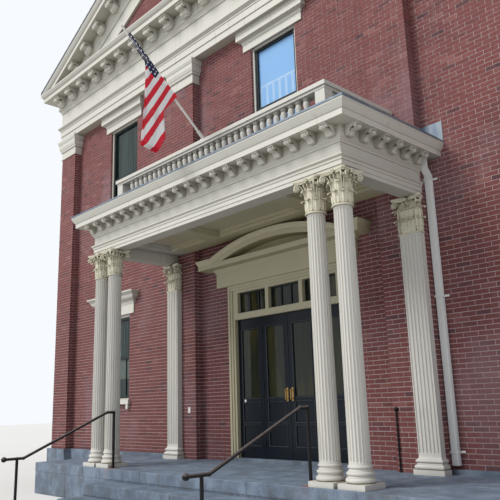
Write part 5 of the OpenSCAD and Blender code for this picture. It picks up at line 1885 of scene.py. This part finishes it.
@dataclass
class Columns(Trade):
    """The four columns' shafts and capitals, and the capitals of the two antae."""

    xs: Span = (2.405, 2.844)
    y: float = 1.845
    capital_z: float = FLOOR + 3.294
    anta_x: float = 2.7775
    anta_half: float = 0.1655
    anta_face: float = 0.295
    anta_z: float = FLOOR + 3.213
    anta_top: float = FLOOR + 3.743
    collar: float = 0.016
    neck_ring: Point = (0.129, 0.013, 0.013)
    leaf_z: float = 0.012
    low_leaf: Leaf = Leaf(0.165, 0.098, 0.022)
    high_leaf: Leaf = Leaf(0.285, 0.112, 0.030)
    anta_leaves: tuple[Leaf, ...] = (
        Leaf(0.345, 0.125, 0.032), Leaf(0.19, 0.115, 0.024),
        Leaf(0.345, 0.092, 0.034), Leaf(0.19, 0.084, 0.026),
    )
    anta_leaf_z: float = 0.014
    anta_ahead: float = 0.009
    anta_angle_in: float = 0.010
    scroll_in: Span = (0.134, 0.130)
    tendril_in: float = 0.118
    flower_in: float = 0.116
    abacus_in: float = 0.142
    abacus_wide: float = 1.14
    carving: Carving = field(default_factory=Carving)

    def capital(self) -> bpy.types.Mesh:
        """Put a column's capital together with its foot at z = 0.

        Returns:
            The mesh.
        """
        c = self.carving
        bm = bmesh.new()
        top, lip = c.height - c.abacus_h, c.lip_r + 0.008
        profile = [(0.0, -0.004)] + [(c.bell(top * t / 8), top * t / 8) for t in range(9)]
        stamp(bm, turned(profile + [(lip, top - 0.012), (lip, top + 0.002), (0.0, top + 0.002)], 40))
        stamp(bm, turned(loop_of(*self.neck_ring, 10), 48, closed=True), moved(z=0.002))
        low, high = (leaf.mesh(c.bell, True) for leaf in (self.low_leaf, self.high_leaf))
        for i in range(8):
            stamp(bm, high, moved(z=self.leaf_z) @ swung(45.0 * i + 22.5))
            stamp(bm, low, moved(z=self.leaf_z) @ swung(45.0 * i) @ Matrix.Diagonal((1.03, 1.03, 1.0, 1.0)))
        scrolls, tendrils, flower = c.scrolls(), c.tendrils(), c.flower()
        for i in range(4):
            stamp(bm, scrolls, swung(90.0 * i + 45.0))
            stamp(bm, tendrils, swung(90.0 * i))
            stamp(bm, flower, swung(90.0 * i))
        stamp(bm, c.abacus())
        return drawn(bm)

    def anta_capital(self) -> bpy.types.Mesh:
        """Put an anta's capital together, its foot at z = 0 and the pilaster's face at y = 0.

        Returns:
            The mesh.
        """
        c, half, face, out = self.carving, self.anta_half, self.anta_face - PILASTER, self.collar
        rise = self.anta_top - self.anta_z
        lift = rise - c.height
        bm = bmesh.new()
        slab(bm, (-half, -face, 0.0), (half, 0.0, rise - c.abacus_h + 0.004), 0.004)
        slab(bm, (-half - out, -face - out, -0.010), (half + out, 0.0, 0.014), 0.006)
        lean = Carving(height=rise).bell
        tall, short, narrow, stub = (leaf.mesh(lean, False) for leaf in self.anta_leaves)
        foot, inset = self.anta_leaf_z, self.anta_angle_in
        front, ahead = moved(0.0, -face, foot), moved(y=-self.anta_ahead)
        for x in (-0.63, -0.21, 0.21, 0.63):
            stamp(bm, tall if abs(x) < 0.5 else narrow, front @ moved(x * half))
        for x in (-0.44, 0.0, 0.44):
            stamp(bm, short, front @ moved(x * half) @ ahead)
        for sign in (-1, 1):
            side = moved(sign * half, -face / 2, foot) @ swung(sign * 90.0)
            angle = moved(sign * (half - inset), -face + inset, foot) @ swung(sign * 45.0)
            for place in (side, angle):
                stamp(bm, narrow, place)
                stamp(bm, stub, place @ ahead)
            eye = moved(sign * (half - self.scroll_in[0]), -face + self.scroll_in[1], lift)
            stamp(bm, c.scrolls(), eye @ swung(sign * 45.0))
        stamp(bm, c.tendrils(), moved(0.0, -face + self.tendril_in, lift))
        stamp(bm, c.flower(), moved(0.0, -face + self.flower_in, lift))
        whole, wide = bmesh.new(), Matrix.Diagonal((self.abacus_wide, 1.0, 1.0, 1.0))
        stamp(whole, c.abacus(), moved(0.0, -face + self.abacus_in, lift) @ wide)
        everything = whole.verts[:] + whole.edges[:] + whole.faces[:]
        wall = {"plane_co": (0.0, 0.0, 0.0), "plane_no": BACK}
        bmesh.ops.bisect_plane(whole, geom=everything, clear_outer=True, **wall)
        bmesh.ops.holes_fill(whole, edges=[e for e in whole.edges if e.is_boundary], sides=0)
        outwards(whole)
        stamp(bm, drawn(whole))
        return drawn(bm)

    def build(self) -> None:
        """Set up shafts and capitals."""
        shafts, capitals, antae = bmesh.new(), bmesh.new(), bmesh.new()
        shaft, capital, anta = Shaft().mesh(), self.capital(), self.anta_capital()
        for sign in (-1, 1):
            for x in self.xs:
                stamp(shafts, shaft, moved(sign * x, -self.y))
                stamp(capitals, capital, moved(sign * x, -self.y, self.capital_z))
            stamp(antae, anta, moved(sign * self.anta_x, -PILASTER, self.anta_z))
        self.settle(drawn(shafts), "fluted_shafts", Slot.COLUMN, replaces=("column_shafts",), smooth=35.0)
        carved = (
            (capitals, "carved_capitals", "column_capitals"),
            (antae, "carved_anta_capitals", "anta_capitals"),
        )
        for bm, name, node in carved:
            finish = self.stock.carving
            self.settle(drawn(bm), name, Slot.COLUMN, replaces=(node,), smooth=50.0, material=finish)


@dataclass
class BracketLeaves(Trade):
    """A carved leaf under each scrolled bracket of the cornices."""

    step: float = 0.62
    width: float = 0.23
    bed: float = 0.383
    corona: float = 0.221
    arch: float = 0.040
    tuck: float = 0.070
    short_of: Span = (0.040, 0.130)
    porch_step: float = 0.303
    porch_w: float = 0.11
    porch_face: Span = (2.956, 1.957)
    porch_arch: float = 0.048
    porch_out: float = 0.327
    porch_tuck: float = 0.062
    porch_bed: float = 0.204
    porch_short_of: Span = (0.020, 0.072)
    porch_spare: float = 0.12
    porch_start: float = 0.3
    porch_end: float = 0.1
    rib: float = 0.06
    thick: float = 0.05
    porch_top: float = FLOOR + 4.294
    spine: tuple[Span, ...] = (
        (0.10, 1.00), (0.30, 0.97), (0.42, 0.66), (0.58, 0.50),
        (0.78, 0.56), (0.94, 0.50), (1.00, 0.34), (0.93, 0.24),
    )

    def leaf(self, depth: float, height: float, width: float) -> bpy.types.Mesh:
        """Draw the leaf under a bracket that hangs from z = 0 and runs from y = 0 towards -y.

        Args:
            depth: how far the bracket reaches out.
            height: how far it hangs down.
            width: how wide it is.
        Returns:
            The mesh.
        """
        bm = bmesh.new()
        bmesh.ops.create_grid(bm, x_segments=6, y_segments=7, size=1.0)
        for vert in bm.verts:
            u, t = vert.co.x, (vert.co.y + 1.0) / 2.0
            out, down = self.spine[round(t * 7)]
            half = width / 2 * (0.98 - 0.42 * t ** 2) * (0.88 + 0.12 * abs(math.sin(t * 11.0)))
            veins = 0.35 * math.cos(3 * math.pi * u) * (1 - abs(u))
            rib = self.rib * height * (math.exp(-((u / 0.22) ** 2)) + veins)
            vert.co = (u * half, -out * depth - 0.3 * rib, -down * height - 0.02 * height - 0.7 * rib)
        return thickened(bm, self.thick * height)

    def build(self) -> None:
        """Hang the leaves under the brackets of the main and the porch cornice."""
        face, top = self.arch + self.tuck, CORNICE_TOP - self.corona
        back, up = self.short_of
        leaf = self.leaf(CORNICE_OUT - self.tuck - face - back, self.bed - up, self.width)
        room = EAVE_X - math.cos(PITCH) * (self.width / 2 + (self.corona + self.bed) / SLOPE)
        bm = bmesh.new()
        for end in (0, 1):
            turn = moved(y=DEPTH * end) @ Matrix.Diagonal((1.0, 1.0 - 2.0 * end, 1.0, 1.0))
            for x in spread(HALF, self.step):
                stamp(bm, leaf, turn @ moved(x, -PILASTER - face, top))
            eave = moved(-EAVE_X, -PILASTER - face, CORNICE_TOP) @ Matrix.Rotation(-PITCH, 4, "Y")
            for i in range(math.floor(room / self.step + 0.5)):
                rise = moved((EAVE_X - (i + 0.5) * self.step) / math.cos(PITCH), 0.0, -self.corona)
                for side in (1.0, -1.0):
                    stamp(bm, leaf, turn @ Matrix.Diagonal((side, 1.0, 1.0, 1.0)) @ eave @ rise)
        for sign in (-1, 1):
            for y in spread(DEPTH / 2 + PILASTER, self.step):
                stamp(bm, leaf, moved(sign * (HALF + face), DEPTH / 2 + y, top) @ swung(sign * 90.0))
        self.settle(drawn(bm), "cornice_leaves", Slot.TRIM, smooth=45.0)
        self.porch()

    def porch(self) -> None:
        """Hang the smaller leaves of the porch cornice."""
        back, up = self.porch_short_of
        depth = self.porch_out - self.porch_tuck - self.porch_arch - back
        leaf = self.leaf(depth, self.porch_bed - up, self.porch_w)
        face_x, face_y = self.porch_face
        bm = bmesh.new()
        for x in spread(face_x + self.porch_spare, self.porch_step):
            stamp(bm, leaf, moved(x, -face_y - self.porch_arch, self.porch_top))
        for sign in (-1, 1):
            y = -face_y + self.porch_start * self.porch_step
            while y <= -PILASTER - self.porch_end:
                place = moved(sign * (face_x + self.porch_arch), y, self.porch_top)
                stamp(bm, leaf, place @ swung(sign * 90.0))
                y += self.porch_step
        self.settle(drawn(bm), "porch_leaves", Slot.PORCH, smooth=45.0)


# Entrance, windows and fittings


@dataclass
class GlazingBars(Trade):
    """Two upright bars in the lower sash of the lower windows."""

    rail: float = 0.104
    meeting: float = 0.031
    sunk: float = 0.106
    width: float = 0.022
    apart: float = 0.60
    thick: float = 0.018

    def bars(self, blocks: Blocks, x: float, y: float, across: Vector) -> None:
        """Set the bars of one window.

        Args:
            blocks: what they are laid into.
            x: the middle of the window's panes, along the front.
            y: the same, behind the front.
            across: the way the window runs.
        """
        low, high = LOWER_WINDOW[0] + self.rail, sum(LOWER_WINDOW) / 2 - self.meeting
        size = [self.width * abs(across[i]) + self.thick * (1.0 - abs(across[i])) for i in range(2)]
        for side in (-self.apart / 2, self.apart / 2):
            blocks.lay(Vector((x, y, (low + high) / 2)) + across * side, (*size, high - low), 0.5)

    def build(self) -> None:
        """Set the bars of all lower windows."""
        blocks = Blocks()
        for x in LOWER_X:
            if x:
                self.bars(blocks, x, self.sunk, ACROSS)
            self.bars(blocks, x, DEPTH - self.sunk, ACROSS)
        for sign in (-1, 1):
            for i in range(SIDE_BAYS):
                y = -PILASTER + CORNER_W + i * SIDE_PITCH + (SIDE_PITCH - CORNER_W) / 2
                self.bars(blocks, sign * (WALL_X - self.sunk), y, BACK)
        self.settle(blocks.finish(), "glazing_bars", Slot.SASH)


@dataclass
class DoorTrim(Trade):
    """Planted mouldings round the panels and panes of the four leaves.

    The panels are shares of the leaf's height. The moulding's steps are shares of its width and of
    its rise, from outside inwards.
    """

    leaf_z: float = FLOOR + 0.054
    leaf_h: float = 2.413
    face_y: float = 0.080
    stile: float = 0.105
    width: float = 0.020
    rise: float = 0.007
    panels: tuple[Span, ...] = ((0.09, 0.22), (0.25, 0.38), (0.42, 0.92))
    moulding: tuple[Span, ...] = ((0.45, 0.0), (0.35, -0.8), (0.20, -0.4))
    leaves: tuple[tuple[str, str, float, float], ...] = (
        ("left_door", "door_trim_left", -0.6178, -0.0030),
        ("right_door", "door_trim_right", 0.0030, 0.6178),
        ("building", "fixed_trim_left", -1.2500, -0.6220),
        ("building", "fixed_trim_right", 0.6220, 1.2500),
    )

    def frame_round(self, bm: bmesh.types.BMesh, x: Span, z: Span) -> None:
        """Add a moulding round an opening.

        Args:
            bm: what it is added to.
            x: left and right edge of the opening.
            z: its lower and upper edge.
        """
        one = bmesh.new()
        half = Matrix.Diagonal(((x[1] - x[0]) / 2 + self.width, (z[1] - z[0]) / 2 + self.width, 1.0, 1.0))
        place = moved(sum(x) / 2, self.face_y - self.rise, sum(z) / 2) @ swung(90.0, "X") @ half
        bmesh.ops.create_grid(one, x_segments=1, y_segments=1, size=1.0, matrix=place)
        inner = one.faces[:]
        for share, drop in self.moulding:
            step = {"thickness": self.width * share, "depth": self.rise * drop}
            bmesh.ops.inset_region(one, faces=inner, use_boundary=True, **step)
        bmesh.ops.delete(one, geom=inner, context="FACES")
        bmesh.ops.solidify(one, geom=one.faces[:], thickness=self.rise)
        outwards(one)
        stamp(bm, drawn(one))

    def build(self) -> None:
        """Plant the mouldings on every leaf."""
        for body, name, x0, x1 in self.leaves:
            bm = bmesh.new()
            for low, high in self.panels:
                edges = (self.leaf_z + low * self.leaf_h, self.leaf_z + high * self.leaf_h)
                self.frame_round(bm, (x0 + self.stile, x1 - self.stile), edges)
            self.settle(drawn(bm), name, Slot.DOOR, body=body, smooth=30.0, material=self.stock.moulding)


@dataclass
class Fittings(Trade):
    """Small fittings: wall plate, capped pipe, the downspout's ribs and lugs, disc, and the pole's ball."""

    edge: float = 0.003
    plate_low: Point = (-2.42, -PILASTER - 0.018, FLOOR + 0.83)
    plate_high: Point = (-2.35, -PILASTER + 0.005, FLOOR + 0.94)
    capped_x: float = 2.25
    capped_out: float = 0.022
    capped_r: float = 0.011
    capped_z: tuple[float, ...] = (-0.002, 0.3, 0.6, 0.83)
    cap_z: float = FLOOR + 0.81
    clip_half: float = 0.025
    clip_z: Span = (FLOOR + 0.30, FLOOR + 0.325)
    cap: tuple[Span, ...] = (
        (0.0, 0.0), (0.022, 0.0), (0.026, 0.008), (0.026, 0.04), (0.018, 0.052), (0.0, 0.056)
    )
    pipe_x: float = 3.010
    pipe_w: float = 0.096
    pipe_z: Span = (BASE_TOP + 0.06, FLOOR + 4.04)
    rib_half: float = 0.007
    rib_out: float = 0.0045
    rib_x: tuple[float, ...] = (-0.72, -0.24, 0.24, 0.72)
    rib_y: Span = (-0.62, -0.38)
    bite: float = 0.004
    lug_x: Point = (0.6, 1.05, 1.25)
    lug_y: Span = (-0.018, -0.003)
    lug_h: float = 0.03
    lug_z: tuple[float, ...] = (BASE_TOP + 0.20, FLOOR + 2.30, FLOOR + 3.98)
    lug_head: tuple[Span, ...] = ((0.0, 0.0), (0.009, 0.0), (0.009, 0.005), (0.005, 0.008), (0.0, 0.009))
    disc: tuple[Span, ...] = (
        (0.0, 0.0), (0.025, 0.0), (0.026, 0.003), (0.024, 0.007), (0.012, 0.008), (0.010, 0.012), (0.0, 0.013)
    )
    disc_at: Point = (-1.10, 0.0801, FLOOR + 1.019)
    pole_foot: Point = (0.0, -1.69, 5.721)
    pole_length: float = 2.15
    pole_r: float = 0.019
    ring_along: Span = (0.22, 0.62)
    ball_in: float = 0.06
    ball_neck: tuple[Span, ...] = (
        (0.0, -0.012), (0.014, -0.012), (0.018, -0.004), (0.012, 0.004), (0.012, 0.010)
    )

    def build(self) -> None:
        """Fix every fitting in its place."""
        bm = bmesh.new()
        slab(bm, self.plate_low, self.plate_high, 2 * self.edge)
        self.settle(drawn(bm), "wall_plate", Slot.PIPE, smooth=30.0)
        self.capped_pipe()
        self.downspout()
        bm = bmesh.new()
        stamp(bm, turned(self.disc, 28), moved(*self.disc_at) @ swung(90.0, "X"))
        self.settle(drawn(bm), "door_disc", Slot.PIPE, smooth=40.0)
        self.pole()

    def capped_pipe(self) -> None:
        """Stand the capped pipe on the platform and clip it to the wall."""
        x, y = self.capped_x, -PILASTER - self.capped_out
        path = [Vector((x, y, FLOOR + z)) for z in self.capped_z]
        bm = bmesh.new()
        stamp(bm, bar(path, [self.capped_r] * len(path), 12))
        stamp(bm, turned(self.cap, 20), moved(x, y, self.cap_z))
        low = (x - self.clip_half, y - 0.002, self.clip_z[0])
        slab(bm, low, (x + self.clip_half, -PILASTER + 0.002, self.clip_z[1]), self.edge)
        self.settle(drawn(bm), "capped_pipe", Slot.RAIL, smooth=40.0)

    def downspout(self) -> None:
        """Fold the downspout's ribs and fix its straps to the wall with lugs."""
        bm = bmesh.new()
        half, (foot, elbow) = self.pipe_w / 2, self.pipe_z
        front = -0.85 * self.pipe_w
        for place in self.rib_x:
            x = self.pipe_x + place * half
            low, high = (x - self.rib_half, front - self.rib_out), (x + self.rib_half, front + self.bite)
            slab(bm, (*low, foot), (*high, elbow), self.edge)
        for place in self.rib_y:
            y = place * self.pipe_w
            for sign in (-1, 1):
                x0, x1 = sorted(self.pipe_x + sign * r for r in (half - self.bite, half + self.rib_out))
                slab(bm, (x0, y - self.rib_half, foot), (x1, y + self.rib_half, elbow), self.edge)
        head = turned(self.lug_head, 12)
        for z in self.lug_z:
            x0, x, x1 = (self.pipe_x + share * self.pipe_w for share in self.lug_x)
            slab(bm, (x0, self.lug_y[0], z), (x1, self.lug_y[1], z + self.lug_h), self.edge)
            stamp(bm, head, moved(x, self.lug_y[0] + 0.001, z + self.lug_h / 2) @ swung(90.0, "X"))
        self.settle(drawn(bm), "pipe_ribs_and_lugs", Slot.PIPE, smooth=30.0)

    def pole(self) -> None:
        """Set the ball on the pole's tip and the rings on the pole."""
        way = Vector((0.0, -math.cos(POLE_SLOPE), math.sin(POLE_SLOPE)))
        turn = way.to_track_quat("Z", "Y").to_matrix().to_4x4()
        angles = [math.radians(33 + 147 * k / 10) for k in range(11)]
        round_part = [(0.021 * math.sin(a), 0.040 - 0.034 * math.cos(a)) for a in angles]
        round_part[-1] = (0.0, round_part[-1][1])
        ball = turned([*self.ball_neck, *round_part], 24)
        ring = turned(loop_of(self.pole_r + 0.004, 0.004, 0.007, 8), 20, closed=True)
        bm = bmesh.new()
        rings = [(ring, along) for along in self.ring_along]
        for shape, along in [(ball, self.pole_length - self.ball_in), *rings]:
            stamp(bm, shape, Matrix.Translation(Vector(self.pole_foot) + way * along) @ turn)
        self.settle(drawn(bm), "pole_fittings", Slot.POLE, smooth=40.0)


# Cloth


@dataclass
class Flag(Trade):
    """The flag, gathered under its pole in upright folds that lie on each other.

    The rows give the outer and inner end of the hanging cloth from the pole's tip downwards, as
    distance in front of the wall and height above the floor.
    """

    flat: Span = (1.22, 1.83)
    layers: int = 4
    spread: float = 0.088
    thick: float = 0.0015
    fine: int = 4
    hoist_end: Span = (-2.258, FLOOR + 5.748)
    tip: Span = (-3.162, FLOOR + 6.515)
    lean: float = math.radians(59.0)
    stripe: float = 0.0785
    stripes: float = 13.0
    corner_share: float = 0.4
    corner_down: float = 0.118
    layer_drop: float = 0.012
    room: Span = (0.62, 0.35)
    waves: tuple[Hole, ...] = ((0.011, 1.9, 0.55, 0.0), (0.006, 4.3, -1.3, 0.3))
    rows: tuple[Hole, ...] = (
        (-3.176, 6.486, -3.144, 6.530),
        (-3.008, 6.312, -2.960, 6.362),
        (-2.850, 6.165, -2.788, 6.206),
        (-2.836, 6.040, -2.572, 6.000),
        (-2.839, 5.800, -2.262, 5.746),
        (-2.848, 5.580, -2.535, 5.410),
        (-2.868, 5.330, -2.522, 5.202),
        (-2.888, 5.070, -2.506, 4.958),
        (-2.907, 4.810, -2.614, 4.753),
    )

    def point(self, across: float, down: float) -> Span:
        """Return the place in the pole's plane of a point of the hanging cloth.

        Args:
            across: 0 at the outer end of a row and 1 at the inner end.
            down: 0 at the pole's tip and 1 at the lowest row.
        Returns:
            The distance in front of the wall and the height.
        """
        place = down * (len(self.rows) - 1)
        index = min(int(place), len(self.rows) - 2)
        share = place - index
        ends = zip(self.rows[index], self.rows[index + 1])
        outer_y, outer_z, inner_y, inner_z = (p + (q - p) * share for p, q in ends)
        return outer_y + (inner_y - outer_y) * across, FLOOR + outer_z + (inner_z - outer_z) * across

    def cut_place(self, y: float, z: float) -> Span:
        """Return where a hanging point lies on the flat cloth, for its pattern.

        Args:
            y: distance in front of the wall.
            z: height.
        Returns:
            The share along the fly and along the hoist.
        """
        off = (self.hoist_end[0] - y) * math.sin(self.lean) - (self.hoist_end[1] - z) * math.cos(self.lean)
        count = self.stripes - off / (self.stripe if off > 0.0 else 1.5 * self.stripe)
        below = -(y - self.tip[0]) * math.sin(POLE_SLOPE) - (z - self.tip[1]) * math.cos(POLE_SLOPE)
        return below * self.corner_share / self.corner_down, count / self.stripes

    def build(self) -> None:
        """Fold the cloth and hang it under the pole."""
        bm = bmesh.new()
        wide, tall = 16 * self.layers, self.fine * (len(self.rows) - 1)
        bmesh.ops.create_grid(bm, x_segments=wide, y_segments=tall, size=1.0)
        cut = bm.loops.layers.uv.new("cut")
        for vert in bm.verts:
            fold, down = (vert.co.x + 1.0) / 2.0 * self.layers, (1.0 - vert.co.y) / 2.0
            across = 0.5 + 0.5 * math.cos(math.pi * fold)
            y, z = self.point(across, down)
            z -= self.layer_drop * int(fold) * down
            room = min(1.0, self.room[0] + max(0.0, self.cut_place(y, z)[0]) * self.room[1])
            wave = sum(h * math.sin(math.tau * (a * across + b * down + c)) for h, a, b, c in self.waves)
            x = room * (self.spread * (0.5 - fold / self.layers) + wave * min(1.0, 4 * down))
            vert.co = (x, y, z)
        for face in bm.faces:
            for loop in face.loops:
                loop[cut].uv = self.cut_place(loop.vert.co.y, loop.vert.co.z)
        bmesh.ops.solidify(bm, geom=bm.faces[:], thickness=self.thick)
        outwards(bm)
        piece = self.settle(drawn(bm), "flag_cloth", Slot.CLOTH, replaces=("flag",), smooth=60.0)


# Light, floor and camera


@dataclass
class Studio:
    """Pale floor, soft light and the camera at the photograph's angle."""

    azimuth: float = 46.446
    elevation: float = 13.484
    roll: float = -1.813
    place: Point = (7.559, -7.931, 1.511)
    focal_px: float = 643.7
    frame_px: float = 500.0
    sensor: float = 36.0
    sight: float = 300.0
    sky: Colour = (0.93, 0.96, 1.0)
    world_strength: float = 0.56
    sun_strength: float = 2.42
    sun_colour: Colour = (1.0, 0.97, 0.92)
    sun_way: Point = (0.42, 0.80, -0.85)
    sun_degrees: float = 25.0
    floor_half: float = 70.0

    def link(self, name: str, data: bpy.types.ID) -> bpy.types.Object:
        """Put an object into the scene.

        Args:
            name: its name.
            data: its mesh, lamp or camera.
        Returns:
            The object.
        """
        made = bpy.data.objects.new(name, data)
        bpy.context.scene.collection.objects.link(made)
        return made

    def camera(self) -> None:
        """Place the camera."""
        az, el, roll = (math.radians(a) for a in (self.azimuth, self.elevation, self.roll))
        look = Vector((-math.sin(az) * math.cos(el), math.cos(az) * math.cos(el), math.sin(el)))
        right = Vector((math.cos(az), math.sin(az), 0.0))
        up = right.cross(look)
        cos, sin = math.cos(roll), math.sin(roll)
        right, up = cos * right + sin * up, cos * up - sin * right
        data = bpy.data.cameras.new("camera")
        data.sensor_width = self.sensor
        data.lens = self.focal_px / self.frame_px * self.sensor
        data.clip_end = self.sight
        camera = self.link("camera", data)
        matrix = Matrix((right, up, -look)).transposed().to_4x4()
        matrix.translation = Vector(self.place) - BACK * MIDDLE
        camera.matrix_world = matrix
        bpy.context.scene.camera = camera

    def light(self) -> None:
        """Set the world, which is bright to the camera and in reflections, and one soft lamp."""
        scene = bpy.context.scene
        scene.view_settings.view_transform = "Standard"
        world = bpy.data.worlds.new("studio")
        world.use_nodes = True
        scene.world = world
        w = Wiring(world.node_tree)
        ground = next(n for n in w.tree.nodes if n.type == "BACKGROUND")
        ray = w.node("ShaderNodeLightPath")
        kinds = ("Camera", "Glossy", "Transmission")
        seen, glossy, through = (Signal(w, ray.outputs[f"Is {kind} Ray"]) for kind in kinds)
        seen = seen.maths("MAXIMUM", glossy.maths("MAXIMUM", through))
        w.put(ground.inputs["Color"], self.sky)
        w.put(ground.inputs["Strength"], seen * (1.0 - self.world_strength) + self.world_strength)
        lamp = bpy.data.lights.new("sun", "SUN")
        lamp.energy = self.sun_strength
        lamp.angle = math.radians(self.sun_degrees)
        lamp.color = self.sun_colour
        sun = self.link("sun", lamp)
        sun.rotation_mode = "QUATERNION"
        sun.rotation_quaternion = Vector(self.sun_way).to_track_quat("-Z", "Y")

    def floor(self) -> None:
        """Lay the pale floor."""
        bm = bmesh.new()
        bmesh.ops.create_grid(bm, x_segments=1, y_segments=1, size=self.floor_half)
        mesh = drawn(bm)
        mesh.materials.append(PaleFloor("pale_floor").build({}))
        self.link("floor", mesh)

    def build(self) -> None:
        """Set up camera, light and floor."""
        self.camera()
        self.light()
        self.floor()


def main() -> None:
    """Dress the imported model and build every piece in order."""
    logging.basicConfig(level=logging.INFO, format="%(message)s")
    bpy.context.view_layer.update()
    Studio().build()
    stock = Stock()
    stock.dress_frame(frame["nodes"], frame["record"])
    for trade in (Walls, Roof, Stonework, Columns, BracketLeaves, GlazingBars, DoorTrim, Fittings, Flag):
        trade(stock).build()


if __name__ == "__main__":
    main()
